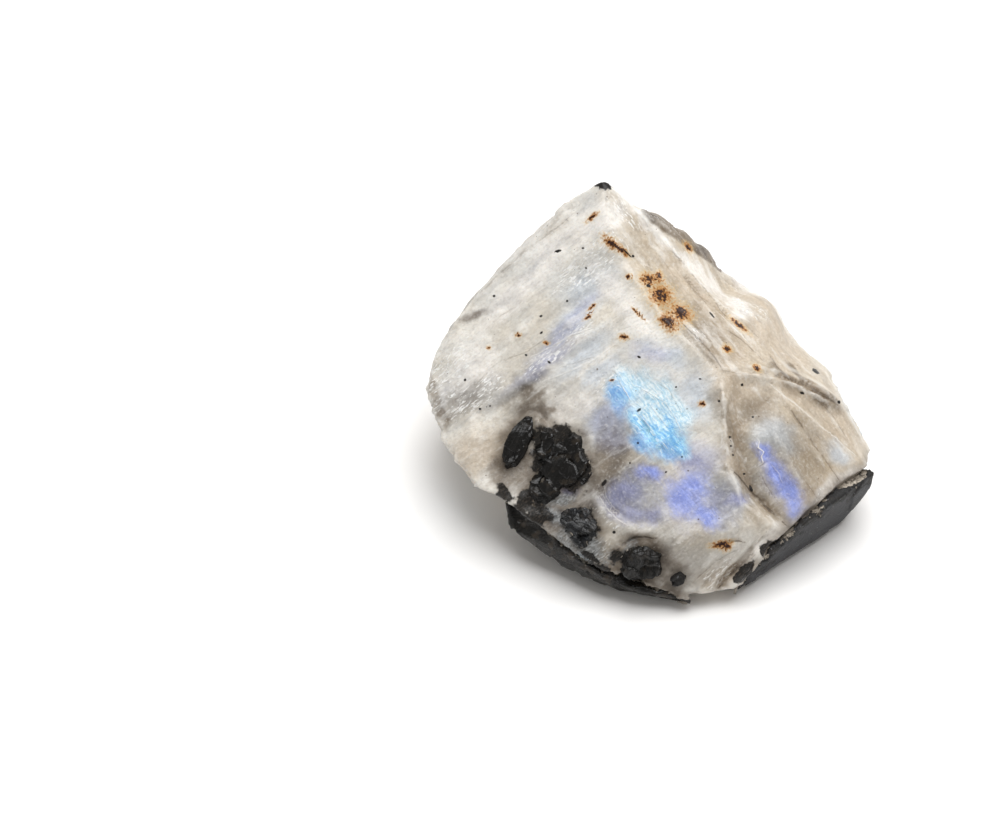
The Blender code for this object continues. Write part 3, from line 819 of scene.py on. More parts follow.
for label, measured in (("dark_line", DARK_LINES), ("light_line", LIGHT_LINES)):
    lines = [(lay(pixels), half, strength) for pixels, half, strength in measured.values()]
    for index in chance.choice(hidden, HIDDEN_LINES[label]):
        places = trace(index, chance.uniform(*HIDDEN_LINE_LENGTHS))
        lines.append((places, chance.uniform(*HIDDEN_LINE_WIDTHS), chance.uniform(*HIDDEN_LINE_FORCES)))
    found = line_fields(lump.points + LINE_WARP * warp, lines)
    fields[label], fields[label + "_gap"], fields[label + "_force"] = found
    print(label, "fields from", len(lines), "lines")

# %% [markdown]
# ## Spots of rust and black specks
# Iron has stained small pits beside the ridge orange and brown, and tiny grains of black mineral
# are scattered all over. They are too small for the mesh, so the material draws them. A node for
# each spot would make the material too big to render. Instead, every point of the skin stores its
# place in the nearest spot, counted in that spot's half sizes. Between the points this place runs
# on evenly, so the material can draw a sharp rim from it.

# %% Places of the spots
# Each: pixel across, pixel down, half width, half height in pixels, tilt in degrees.
RUST = {
    "ridge_streak": (611, 243, 8, 4, -40), "ridge_streak_low": (622, 250, 7, 2.5, -45),
    "tip": (592, 217, 6, 2, 38), "upper": (648, 279, 7, 5, 0), "upper_side": (659, 276, 3, 4, 20),
    "large": (661, 295, 10, 9, 10), "middle": (681, 313, 9, 7, -30), "dark": (668, 322, 9, 6, -50),
    "left": (624, 337, 4, 2.5, 0), "low": (727, 349, 4, 3, -30), "streak": (739, 325, 9, 2, -40),
    "low_right": (757, 368, 4, 2.5, -40), "sliver": (688, 247, 5, 2.5, -50),
    "front_1": (518, 335, 2.5, 2, 0), "front_2": (546, 343, 2.5, 1.5, -20),
    "front_3": (592, 307, 4, 1.5, 40), "front_4": (588, 317, 4, 1.5, 30),
    "front_5": (489, 348, 2, 1.6, 0),
    "flank": (702, 404, 3, 2.5, 0), "crack": (721, 544, 8, 3, 10), "crack_2": (727, 547, 4, 3, 40),
    "yellow_1": (628, 277, 2, 2, 0), "yellow_2": (636, 312, 5, 1, -50), "low_2": (612, 380, 2, 1, 0),
}
SPECK = {
    "tip": (603, 184, 10, 6, -20), "tip_left": (577, 194, 8, 3, 42), "large": (558, 251, 3.4, 1.6, 12),
    "a": (494, 296, 1.3, 1.3, 0), "b": (567, 301, 1.3, 1.3, 0), "c": (541, 316, 1.6, 1.3, 20),
    "d": (541, 333, 2, 1.2, 40), "e": (549, 362, 2, 1.2, -40), "f": (465, 380, 1.5, 1.5, 0),
    "g": (639, 357, 2.2, 1.2, -35), "h": (526, 355, 1.3, 1.2, 0), "i": (639, 410, 2.2, 1.4, 40),
    "j": (742, 385, 1.6, 1.5, 0), "k": (815, 370, 3, 1.3, -30), "l": (839, 402, 1.8, 1.8, 0),
    "m": (719, 401, 1.4, 1.2, 0), "n": (751, 489, 1.6, 4, 25), "o": (633, 256, 1.4, 1.1, 0),
    "p": (648, 286, 3, 1.2, -30), "q": (712, 315, 4, 1, -50), "r": (638, 443, 1.2, 1.2, 0),
    "s": (682, 457, 1, 1, 0), "t": (630, 463, 1, 1, 0), "u": (583, 248, 1.2, 1, 0),
    "v": (586, 268, 1.2, 1, 0), "w": (666, 472, 1.2, 1, 20), "x": (480, 409, 1.3, 1.2, 0),
    "y": (490, 406, 1, 1, 0), "z": (614, 532, 2, 1.5, 0), "groove_1": (730, 437, 1.6, 1.2, 0),
    "groove_2": (731, 446, 1.2, 1.2, 0), "groove_3": (733, 455, 1.2, 1.1, 0),
    "groove_4": (744, 474, 1.4, 1.2, 0), "groove_5": (753, 417, 1.3, 1.1, 0),
    "rust_core_4": (649, 285, 2.2, 1, -30), "rust_core_5": (626, 252, 5, 0.8, -45),
    "smudge": (604, 483, 4, 2, 50), "lip": (816, 372, 4, 1.6, -25),
    "ledge": (802, 393, 2.4, 1.4, -20), "mid": (676, 387, 1.2, 1, 0), "near": (700, 379, 1.4, 0.8, 0),
}
print(len(RUST), "rust spots and", len(SPECK), "specks")

# %% Spot fields
HIDDEN_SPOTS = 24
HIDDEN_SPOT_SIZES = (0.4, 1.3)
SPOT_DEPTH, SPOT_REACH = 2.0, 20
PICTURE_FRAME = Matrix((ACROSS, UP, -SIGHT)).transposed()
# Each: the measured spots, the seed and the size in mm of the hidden ones.
SPOTS = {"rust": (RUST, 3, 0.35), "speck": (SPECK, 5, 0.16)}


def spot_shapes(spots, seed, size):
    """The middle, turn and half sizes of each spot."""
    shapes = []
    for px, py, wide, high, tilt in spots.values():
        where = seen_at(px, py)
        if where:
            turn = PICTURE_FRAME @ Matrix.Rotation(math.radians(tilt), 3, "Z")
            half_sizes = np.array((wide / PIXELS_PER_MM, high / PIXELS_PER_MM, SPOT_DEPTH))
            shapes.append((np.array(where), np.array(turn), half_sizes))
    chance = np.random.default_rng(seed)
    for index in chance.choice(out_of_view(*WELL_AWAY), HIDDEN_SPOTS):
        turn = np.array(Matrix.Rotation(chance.uniform(0, 3), 3, lump_out[index]))
        shapes.append((lump.points[index], turn, chance.uniform(*HIDDEN_SPOT_SIZES, 3) * size))
    return shapes


def spot_fields(points, shapes):
    """Each point's place in its nearest spot, and how far out in the spot it surely is."""
    at, gap, sure = np.zeros_like(points), np.full(len(points), 1e9), np.zeros(len(points))
    for where, turn, half_sizes in shapes:
        here = (points - where) @ turn / half_sizes
        far = np.linalg.norm(here, axis=1)
        nearer = far < gap
        gap[nearer], at[nearer] = far[nearer], here[nearer]
        sure[nearer] = far[nearer] - LUMP_CELL / half_sizes.min()
    return np.clip(at, -SPOT_REACH, SPOT_REACH), np.clip(sure, -SPOT_REACH, SPOT_REACH)


for kind, (spots, seed, size) in SPOTS.items():
    found = spot_fields(lump.points, spot_shapes(spots, seed, size))
    fields[kind + "_at"], fields[kind + "_gap"] = found
    print(kind, "on", int((fields[kind + "_gap"] < 1).sum()), "points")

# %% [markdown]
# ## Short names for nodes
# A material is a graph of nodes. These helpers place one node each and link its inputs, so that
# the materials below read as lists of layers. Each helper first takes the tree that it works in.

# %% Helpers for numbers and colours
def srgb(red, green, blue):
    """A colour given as on a screen, 0 to 255, in the linear numbers that nodes use."""
    return tuple((c / 255 / 12.92) if c < 11 else ((c / 255 + 0.055) / 1.055) ** 2.4
                 for c in (red, green, blue)) + (1.0,)


def fill(tree, made, inputs):
    """Fills a node's inputs with values or links."""
    for key, value in inputs.items():
        socket = made.inputs[key]
        if isinstance(value, bpy.types.NodeSocket):
            tree.links.new(value, socket)
        else:
            socket.default_value = value
    return made


def put(tree, kind, inputs=(), **settings):
    """Places a node and sets it up."""
    made = tree.nodes.new("ShaderNode" + kind)
    for name, value in settings.items():
        setattr(made, name, value)
    return fill(tree, made, dict(inputs))


def calc(tree, operation, a, b=0.0, c=0.0):
    """A Math node."""
    return put(tree, "Math", {0: a, 1: b, 2: c}, operation=operation).outputs[0]


def scaled(tree, value, factor, plus):
    """A value times a factor, plus another value."""
    return calc(tree, "MULTIPLY_ADD", value, factor, plus)


def times(tree, *values):
    """The product of some values."""
    total = values[0]
    for value in values[1:]:
        total = calc(tree, "MULTIPLY", total, value)
    return total


def average(tree, first, second, share):
    """Two noises mixed, by the share of the first one."""
    return calc(tree, "ADD", times(tree, first, share), times(tree, second, 1 - share))


def ramp(tree, value, start, full, strength=1.0):
    """A value as a soft mask: 0 where it starts, its whole strength where it is full."""
    mask = put(tree, "MapRange", {0: value, 1: start, 2: full}, interpolation_type="SMOOTHSTEP")
    return mask.outputs[0] if strength == 1.0 else times(tree, mask.outputs[0], strength)


def blend(tree, share, low, high, mode="MIX"):
    """Two colours mixed by a share."""
    return put(tree, "Mix", {0: share, 6: low, 7: high}, data_type="RGBA", blend_type=mode).outputs[2]


def darker(tree, share, colour, tone):
    """A colour multiplied by a tone where the share is 1."""
    return blend(tree, share, colour, tone + (1.0,), "MULTIPLY")


print("screen grey 128 is", round(srgb(128, 128, 128)[0], 3), "in the nodes")

# %% [markdown]
# ## Short names for vectors, attributes and groups
# Noise is looked up at a place, and a place is a vector. Moving, scaling or shaking that place
# changes the noise: it shifts, shrinks or gets ragged edges. A node group is a small graph with
# named inputs and outputs that several materials can use.

# %% Helpers for places and groups
PUSH_DETAIL = 3.0


def vector(tree, operation, a, b):
    """A Vector Math node; SCALE takes a number as its second input."""
    key = "Scale" if operation == "SCALE" else 1
    return put(tree, "VectorMath", {0: a, key: b}, operation=operation).outputs[0]


def cloud(tree, place, size, detail=3.0):
    """Noise whose lumps are about size millimetres."""
    made = put(tree, "TexNoise", {"Vector": place, "Scale": 1 / size, "Detail": detail, "Roughness": 0.55})
    return made.outputs["Fac"]


def noise_push(tree, place, size, amount):
    """A small push in a random direction that changes from place to place."""
    made = put(tree, "TexNoise", {"Vector": place, "Scale": 1 / size, "Detail": PUSH_DETAIL})
    centred = vector(tree, "SUBTRACT", made.outputs["Color"], (0.5, 0.5, 0.5))
    return vector(tree, "SCALE", centred, amount)


def pushed(tree, place, size, amount):
    """A place pushed about by noise, which makes every edge drawn with it ragged."""
    return vector(tree, "ADD", place, noise_push(tree, place, size, amount))


def shifted(tree, place, amount):
    """A place moved by a fixed amount, for noise that doesn't repeat another one."""
    return vector(tree, "ADD", place, (amount, -0.7 * amount, 1.3 * amount))


def place_in_mm(tree):
    """The place on the object, in millimetres."""
    return vector(tree, "SCALE", put(tree, "TexCoord").outputs["Object"], 1 / MM)


def attribute(tree, label, output="Fac"):
    """A number or a vector that travels with the mesh."""
    return put(tree, "Attribute", attribute_name=label).outputs[output]


def new_group(name, inputs, outputs):
    """An empty node group with named sockets."""
    tree = bpy.data.node_groups.new(name, "ShaderNodeTree")
    for label, kind, value in inputs:
        socket = tree.interface.new_socket(label, in_out="INPUT", socket_type="NodeSocket" + kind)
        if value is not None:
            socket.default_value = value
    for label in outputs:
        tree.interface.new_socket(label, in_out="OUTPUT", socket_type="NodeSocketFloat")
    return tree, tree.nodes.new("NodeGroupInput").outputs, tree.nodes.new("NodeGroupOutput").inputs


def use(tree, group, **inputs):
    """Places a node group and returns its outputs."""
    made = tree.nodes.new("ShaderNodeGroup")
    made.node_tree = group
    return fill(tree, made, inputs).outputs


def new_material(name):
    """A material with its node tree and its shader."""
    material = bpy.data.materials.new(name)
    material.use_nodes = True
    return material, material.node_tree, material.node_tree.nodes["Principled BSDF"]


print("the nodes count in mm: 1 m is", 1 / MM)

# %% [markdown]
# ## Fine parallel lines
# Both minerals have them: the feldspar where its thin sheets end, the tourmaline along its ribs.
# Stretched noise gives such lines without one ever repeating. It is built once, as a node group
# that takes the length and width of the lines, and set differently in each material.

# %% Node group: parallel lines
STRETCH_INPUTS = [("Grain", "Vector", None), ("Length", "Float", 1.0), ("Width", "Float", 0.2)]


def stretched(tree, given):
    """The grain, measured in lengths along the lines and in widths across them."""
    sizes = put(tree, "CombineXYZ", {0: given["Length"], 1: given["Width"], 2: given["Width"]})
    return vector(tree, "DIVIDE", given["Grain"], sizes.outputs[0])


def make_lines_group():
    """The group that draws fine parallel lines."""
    tree, given, result = new_group("Parallel lines", STRETCH_INPUTS, ["Lines"])
    place = stretched(tree, given)
    lines = put(tree, "TexNoise", {"Vector": place, "Scale": 1.0, "Detail": 4.0, "Roughness": 0.6})
    tree.links.new(lines.outputs["Fac"], result["Lines"])
    return tree


LINES = make_lines_group()
print("group:", LINES.name)

# %% [markdown]
# ## Tiny flat flakes
# A broken mineral is covered in little flat flakes, and the light picks out one here and one
# there. Voronoi cells that are stretched along the grain give each flake a number of its own.
# Only the flakes with the highest numbers light up, so a material chooses how many it shows.

# %% Node group: flakes
def make_flakes_group():
    """The group that gives every flake a number and a tint."""
    tree, given, result = new_group("Flakes", STRETCH_INPUTS, ["Flake", "Tint"])
    cells = put(tree, "TexVoronoi", {"Vector": stretched(tree, given), "Scale": 1.0})
    parts = put(tree, "SeparateXYZ", {0: cells.outputs["Color"]}).outputs
    tree.links.new(parts[0], result["Flake"])
    tree.links.new(parts[1], result["Tint"])
    return tree


FLAKES = make_flakes_group()
print("group:", FLAKES.name)

# %% [markdown]
# ## Ragged masks
# A field of the mesh fades evenly, but the rim of a stain or a glow is ragged. The group adds
# noise to the field before it is cut off, so one field can give a soft veil or a torn patch.

# %% Node group: ragged mask
MASK_INPUTS = [("Field", "Float", 0.0), ("Noise", "Float", 0.5), ("Ragged", "Float", 0.5),
               ("Start", "Float", 0.0), ("Full", "Float", 0.3)]


def make_mask_group():
    """The group that cuts a field off along a ragged rim."""
    tree, given, result = new_group("Ragged mask", MASK_INPUTS, ["Mask"])
    push = times(tree, calc(tree, "SUBTRACT", given["Noise"], 0.5), given["Ragged"])
    value = calc(tree, "ADD", given["Field"], push)
    tree.links.new(ramp(tree, value, given["Start"], given["Full"]), result["Mask"])
    return tree


MASK = make_mask_group()


def masked(tree, field, noise, ragged, start, full, strength=1.0):
    """A field as a mask with a ragged rim; a name stands for a field of the mesh."""
    field = attribute(tree, field) if isinstance(field, str) else field
    mask = use(tree, MASK, Field=field, Noise=noise, Ragged=ragged, Start=start, Full=full)["Mask"]
    return mask if strength == 1.0 else times(tree, mask, strength)


print("group:", MASK.name)

# %% [markdown]
# ## Feldspar: milky veils
# The mineral is never one white. Milky, tan and grey-blue layers hang in it like curtains, and
# the parts near the foot, which get less light, are painted darker as painted shade. An image
# could be painted for this, but it would blur close up. Here every veil and every painted shade is
# a field of the mesh with a ragged mask, laid over the one before.

# %% Feldspar veils
PALE, WARM, WHITE = srgb(216, 214, 208), srgb(224, 217, 204), srgb(242, 240, 235)
# The right faces are tan and darker than the front: partly their own tan, partly painted shade of the side
# turned from the light.
FLANK_TAN_AND_SHADE = srgb(190, 173, 148)
# Each: how ragged, where the field starts and is full, strength, colour.
VEILS = {
    "tan": (1.0, 0.0, 0.8, 0.75, srgb(200, 185, 165)),
    "haze": (1.0, 0.0, 0.8, 0.7, srgb(198, 207, 217)),
    "smoke": (1.2, 0.0, 0.9, 0.5, srgb(164, 164, 170)),
    "lavender": (1.2, 0.0, 0.8, 0.6, srgb(178, 182, 208)),
    "milk": (1.2, -0.1, 0.6, 0.8, srgb(240, 236, 230)),
}
# Each: how ragged, where the field starts and is full, strength, tone to multiply by.
SHADES = {
    # The dim field is painted shade on the lower parts, in the groove and under the ledge.
    "painted_shade": (0.5, -0.1, 0.8, 1.0, (0.6, 0.575, 0.545)),
    # Dark is partly the dark translucent feldspar round the crystals and partly painted shade.
    "dark": (1.2, 0.0, 0.7, 1.0, (0.5, 0.46, 0.42)),
}
# Painted shade on the narrow sides that fall away behind the crest and the upper left edge.
FAR_SIDE_SHADES = {
    "crest_side": (0.6, -0.1, 0.3, 0.95, (0.34, 0.3, 0.26)),
    "left_side": (3.0, 0.0, 0.4, 0.28, (0.34, 0.3, 0.26)),
}
# Each: where the noise starts to count and counts in full, strength.
WARM_PATCHES, WHITE_PATCHES = (0.35, 0.65), (0.42, 0.66, 0.5)
GREY_SHEETS, WHITE_SHEETS = (0.5, 0.32, 0.5), (0.52, 0.7, 0.45)
GREY_SHEET_TONE = (0.72, 0.73, 0.76)
PATCH_SIZE, WARM_SIZE, WARM_SHIFT = 5.0, 6.0, 31.0


def shaded(tree, colour, noise, shades):
    """A colour with some shades of the mesh's fields over it."""
    for label, (ragged, start, full, strength, tone) in shades.items():
        colour = darker(tree, masked(tree, label, noise, ragged, start, full, strength), colour, tone)
    return colour


def feldspar_veils(tree, place, middle, long):
    """The milky colours, before any glow, stain or speck."""
    broad = cloud(tree, place, PATCH_SIZE, 2.0)
    warm = cloud(tree, shifted(tree, place, WARM_SHIFT), WARM_SIZE, 2.0)
    noise = average(tree, long, middle, 0.6)
    colour = blend(tree, ramp(tree, warm, *WARM_PATCHES), PALE, WARM)
    colour = blend(tree, ramp(tree, broad, *WHITE_PATCHES), colour, WHITE)
    # The right faces turn tan and darker: partly their own colour, partly painted shade.
    flank = times(tree, scaled(tree, middle, 0.5, 0.5), attribute(tree, "flank"))
    colour = blend(tree, flank, colour, FLANK_TAN_AND_SHADE)
    for label, (ragged, start, full, strength, veil) in VEILS.items():
        colour = blend(tree, masked(tree, label, noise, ragged, start, full, strength), colour, veil)
    colour = shaded(tree, colour, middle, SHADES)
    colour = darker(tree, ramp(tree, long, *GREY_SHEETS), colour, GREY_SHEET_TONE)
    colour = blend(tree, ramp(tree, long, *WHITE_SHEETS), colour, WHITE)
    return shaded(tree, colour, middle, FAR_SIDE_SHADES)


print("veils:", ", ".join(VEILS))

# %% [markdown]
# ## Feldspar: blue and violet glows
# The real flash is light that thin layers inside the stone send back, so here it is a painted
# reflection: a colour laid on the surface, with a little emission that makes it glow. Seen close,
# it is made of fine scratches that run one way. A colour that changes with the view would be
# truer, but it can't be carried to other programs, so the painted glows stay where they were seen.

# %% Feldspar glows
# Each: ragged, start, full, strength, colour between the scratches, colour on them, painted glow given as
# emission.
GLOWS = {
    "violet": (0.9, -0.1, 0.9, 0.72, srgb(136, 140, 178), srgb(156, 160, 198), srgb(10, 10, 26)),
    "cyan": (0.6, 0.0, 0.7, 0.92, srgb(104, 176, 232), srgb(176, 230, 252), srgb(20, 78, 114)),
    "shine": (0.9, -0.05, 0.7, 0.88, srgb(170, 212, 232), srgb(236, 248, 251), srgb(40, 74, 92)),
    "sky": (0.6, -0.05, 0.8, 0.85, srgb(112, 160, 218), srgb(150, 196, 234), srgb(6, 30, 66)),
    "blue": (0.9, -0.1, 0.9, 0.85, srgb(134, 150, 222), srgb(158, 174, 238), srgb(16, 24, 70)),
}
NO_LIGHT = (0, 0, 0, 1)
SCRATCH_TILT = -50
# Each: where the noise starts to count and counts in full, strength.
BRIGHT_SCRATCHES, STREAKS, CUTS = (0.42, 0.68), (0.9, 0.94, 0.55), (0.4, 0.3, 0.5)
# The white streaks and darker cuts are part of the painted reflection of the flash.
STREAK_COLOUR, CUT_TONE = srgb(240, 250, 253), (0.5, 0.72, 0.86)
# Each: ragged, start, full of the places where a glow keeps the painted glints away.
FLASH_MASK, CALM_VIOLET, CALM_BLUE = (0.6, 0.0, 0.5), (0.6, -0.2, 0.2), (0.6, -0.3, 0.1)


def feldspar_glows(tree, colour, place, middle):
    """Lays the painted glows over a colour; gives their painted light as emission too, and where the
    surface is calm.
    """
    turn = (PICTURE_FRAME @ Matrix.Rotation(math.radians(SCRATCH_TILT), 3, "Z")).to_euler()
    lined_up = put(tree, "Mapping", {"Vector": place, "Rotation": turn}, vector_type="TEXTURE").outputs[0]
    scratches = use(tree, LINES, Grain=lined_up, Length=2.0, Width=0.2)["Lines"]
    strokes = use(tree, FLAKES, Grain=lined_up, Length=1.1, Width=0.14)["Flake"]
    bright = scaled(tree, strokes, 0.5, ramp(tree, scratches, *BRIGHT_SCRATCHES))
    rim = average(tree, scratches, middle, 0.5)
    light = NO_LIGHT
    for label, (ragged, start, full, strength, low, high, own_light) in GLOWS.items():
        share = masked(tree, label, rim, ragged, start, full, strength)
        colour = blend(tree, share, colour, blend(tree, bright, low, high))
        light = blend(tree, share, light, own_light)
    flash = masked(tree, "cyan", rim, *FLASH_MASK)
    streaks = times(tree, ramp(tree, strokes, *STREAKS), flash)
    colour = blend(tree, streaks, colour, STREAK_COLOUR)
    cuts = times(tree, ramp(tree, scratches, *CUTS), flash)
    colour = darker(tree, cuts, colour, CUT_TONE)
    violet = masked(tree, "violet", middle, *CALM_VIOLET)
    calm = calc(tree, "MAXIMUM", violet, masked(tree, "blue", middle, *CALM_BLUE))
    return colour, light, calc(tree, "MAXIMUM", flash, calm)


print("glows:", ", ".join(GLOWS))

# %% [markdown]
# ## Feldspar: hairlines
# A crack is dark and sunk, and so is the painted shadow under a ledge, in the groove and in the
# lobe clefts; an edge is light and raised, a painted highlight. Both come from the distances
# stored before: a dark line has a brown band round it, partly stain and partly painted shade, and
# is broken off here and there. The same masks give the relief, so colour and bump agree.

# %% Feldspar hairlines
# Each: how far from the line it starts and is full, in half widths, strength.
STAIN_AND_SHADE_BESIDE, DARK_CORE, LIGHT_CORE = (8.0, 0.5, 0.7), (1.6, 0.4), (1.8, 0.2)
# The brown band beside a dark line is partly stain and partly painted shade; the dark core is a crack or a
# painted shadow; the edge colour is painted highlight.
STAIN_AND_SHADE_TONE, CRACK_AND_SHADOW_TONE, EDGE_HIGHLIGHT = (0.66, 0.58, 0.5), (0.24, 0.21, 0.18), srgb(248, 246, 241)
BREAKS = (0.32, 0.56)
LEAST_LEFT = 0.2
HAIR_RAGGED = 1.6


def hairline(tree, label, fine):
    """How far from the middle of the nearest hairline, in half widths."""
    signed = calc(tree, "ABSOLUTE", attribute(tree, label))
    gap = calc(tree, "MAXIMUM", signed, attribute(tree, label + "_gap"))
    return calc(tree, "ADD", gap, scaled(tree, fine, HAIR_RAGGED, -HAIR_RAGGED / 2))


def feldspar_hairlines(tree, colour, middle, fine):
    """Draws the cracks, the painted shadow lines and the painted highlights on edges, and gives their
    relief.
    """
    gap = hairline(tree, "dark_line", fine)
    broken = scaled(tree, ramp(tree, middle, *BREAKS), 1 - LEAST_LEFT, LEAST_LEFT)
    force = times(tree, attribute(tree, "dark_line_force"), broken)
    dark = times(tree, ramp(tree, gap, *DARK_CORE), force)
    colour = darker(tree, times(tree, ramp(tree, gap, *STAIN_AND_SHADE_BESIDE), force), colour, STAIN_AND_SHADE_TONE)
    colour = darker(tree, dark, colour, CRACK_AND_SHADOW_TONE)
    gap = hairline(tree, "light_line", fine)
    light = times(tree, ramp(tree, gap, *LIGHT_CORE), attribute(tree, "light_line_force"), broken)
    colour = blend(tree, light, colour, EDGE_HIGHLIGHT)
    return colour, calc(tree, "SUBTRACT", light, dark)


print("hairlines reach", STAIN_AND_SHADE_BESIDE[0], "half widths")

# %% [markdown]
# ## Feldspar: painted shade and highlight, crushed grains and black mineral
# Hollows are painted darker, as painted shade, and edges lighter, as painted highlight, so both
# follow the bend of the skin. Round each crystal the feldspar is stained grey-brown. Where it was
# crushed it looks like ice, and thin films of the black mineral lie in the lowest seams.

# %% Feldspar darks
# Each: where the value starts and is full, strength.
# Painted shade darkens the hollows and painted highlight lightens the edges, both by the bend of the skin.
SHADED_HOLLOWS, HOLLOW_SHADE_PATCHES, LIT_EDGES = (-0.02, -0.14, 0.4), (0.3, 0.6), (0.03, 0.16, 0.35)
HOLLOW_SHADE_TONE, HALO_TONE = (0.6, 0.52, 0.44), (0.36, 0.32, 0.28)
# Each: how ragged, where the field starts and is full, strength.
CRYSTAL_HALO, ICE, INK = (2.2, -0.2, 1.1, 0.85), (1.8, -0.2, 0.7, 0.75), (2.6, 0.12, 0.42, 0.96)
HALO_FALL, HALO_START = -0.8, 1.3
ICE_DARK, ICE_LIGHT = srgb(92, 95, 96), srgb(216, 220, 222)
INK_DARK, INK_LIGHT, INK_FLAKES = srgb(14, 12, 10), srgb(48, 42, 36), (0.6, 0.95)


def feldspar_darks(tree, colour, middle, fine, flake):
    """Lays painted shade in hollows, painted highlight on edges, crushed feldspar and black mineral over a
    colour; tells where the black is.
    """
    bend = attribute(tree, "bend")
    hollow_shade = times(tree, ramp(tree, bend, *SHADED_HOLLOWS), ramp(tree, middle, *HOLLOW_SHADE_PATCHES))
    colour = darker(tree, hollow_shade, colour, HOLLOW_SHADE_TONE)
    colour = blend(tree, ramp(tree, bend, *LIT_EDGES), colour, WHITE)
    noise = average(tree, fine, middle, 0.5)
    near = scaled(tree, attribute(tree, "crystal_gap"), HALO_FALL, HALO_START)
    colour = darker(tree, masked(tree, near, noise, *CRYSTAL_HALO), colour, HALO_TONE)
    crushed = blend(tree, times(tree, flake, fine), ICE_DARK, ICE_LIGHT)
    colour = blend(tree, masked(tree, "ice", noise, *ICE), colour, crushed)
    ink = masked(tree, "ink", average(tree, fine, middle, 0.2), *INK)
    black = blend(tree, ramp(tree, flake, *INK_FLAKES), INK_DARK, INK_LIGHT)
    return blend(tree, ink, colour, black), ink


print("the dark round the crystals ends", round(-HALO_START / HALO_FALL, 1), "mm away")

# %% [markdown]
# ## Feldspar: rust and specks
# A rust spot has a dark core, a brown ring and a pale golden halo, where the iron has spread.
# Noise moves the place inside the spot, so that no spot is a neat ellipse. Specks are plain
# black, and the finest brown dots come from Voronoi cells whose dot is smaller than the cell.

# %% Feldspar spots
# Each: how far out it starts and is full, in the spot's half sizes, strength, colour.
RUST_RINGS = {
    "halo": (2.3, 0.8, 0.5, srgb(222, 188, 124)),
    "brown": (1.5, 0.7, 0.9, srgb(160, 98, 16)),
    "core": (0.85, 0.5, 1.0, srgb(44, 14, 0)),
}
SPECK_RINGS = {"core": (1.15, 0.75, 1.0, srgb(26, 22, 20))}
SPOT_NOISE_SIZE = 1 / 3.5
RUST_RAGGED, SPECK_RAGGED = 1.9, 1.2
GRIT_SIZE, GRIT_PUSH = 0.26, 2.0
DOT_SIZE, DOT_RIM, DOT_COLOUR = 0.09, (0.02, -0.01, 0.75), srgb(88, 68, 48)


def spot_distance(tree, kind, place, ragged):
    """0 in the middle and 1 at the ragged rim of the nearest spot of a kind."""
    push = noise_push(tree, place, SPOT_NOISE_SIZE, ragged)
    at = vector(tree, "ADD", attribute(tree, kind + "_at", "Vector"), push)
    gap = put(tree, "VectorMath", {0: at}, operation="LENGTH").outputs["Value"]
    return calc(tree, "MAXIMUM", gap, attribute(tree, kind + "_gap"))


def ringed(tree, colour, gap, rings):
    """A colour with the rings of a spot over it."""
    for start, full, strength, ring in rings.values():
        colour = blend(tree, ramp(tree, gap, start, full, strength), colour, ring)
    return colour


def feldspar_spots(tree, colour, place):
    """Lays rust, specks and brown dots over a colour."""
    grit = scaled(tree, cloud(tree, place, GRIT_SIZE), GRIT_PUSH, -GRIT_PUSH / 2)
    rust = calc(tree, "ADD", spot_distance(tree, "rust", place, RUST_RAGGED), grit)
    colour = ringed(tree, colour, rust, RUST_RINGS)
    colour = ringed(tree, colour, spot_distance(tree, "speck", place, SPECK_RAGGED), SPECK_RINGS)
    dots = put(tree, "TexVoronoi", {"Vector": place, "Scale": 1.0}).outputs
    chosen = put(tree, "SeparateXYZ", {0: dots["Color"]}).outputs[0]
    outside = calc(tree, "SUBTRACT", dots["Distance"], times(tree, chosen, chosen, DOT_SIZE))
    return blend(tree, ramp(tree, outside, *DOT_RIM), colour, DOT_COLOUR)


print("rings of a rust spot:", ", ".join(RUST_RINGS))

# %% [markdown]
# ## Feldspar: grain and painted glints
# On a fresh break the sheets end in little grey and white steps, and some flakes flash white like
# sugar; those white flashes are painted glints. They show best in the sparkle zones and hardly at
# all inside a glow, where the surface is smooth. All of it runs with the grain of the face.

# %% Feldspar surface
# Each: where the value starts and is full, strength; then the tone or colour.
GREY_DUST, GREY_DUST_TONE = (0.56, 0.3, 0.42), (0.78, 0.76, 0.74)
SHEET_SHARE, SHEET_TONE = 0.4, (0.84, 0.84, 0.85)
GREY_FLAKES, GREY_FLAKE_TONE = (0.2, 0.1, 0.3), (0.74, 0.74, 0.76)
WHITE_DUST, DUST_WHITE = (0.5, 0.85, 0.4), srgb(242, 240, 236)
HAIRS, HAIR_PATCHES, HAIR_TONE = (0.36, 0.3, 0.35), (0.48, 0.64), (0.62, 0.58, 0.54)
SPARKLE_ZONES = (1.2, -0.1, 0.6)
CHOSEN_FLAKES = (0.99, 1.02)
# Painted glints: white flakes that stand for light flashing off the cleavage faces.
GLINT_WHITE = srgb(252, 252, 250)
# What a sparkle zone adds to the numbers of its flakes, and what every place adds.
ZONE_SHARE, ZONE_BASE = 0.2, -0.04
# Each: how much the tint or the zone counts, and what is there without it.
ROUND_TINT, LONG_TINT, CALM_SHARE, SPARKLE_SHARE = (0.7, 0.2), (0.6, 0.3), (-0.8, 0.9), (0.85, 0.15)
STROKE_PUSH, STROKE_ZONE = (0.5, 0.12), 0.8


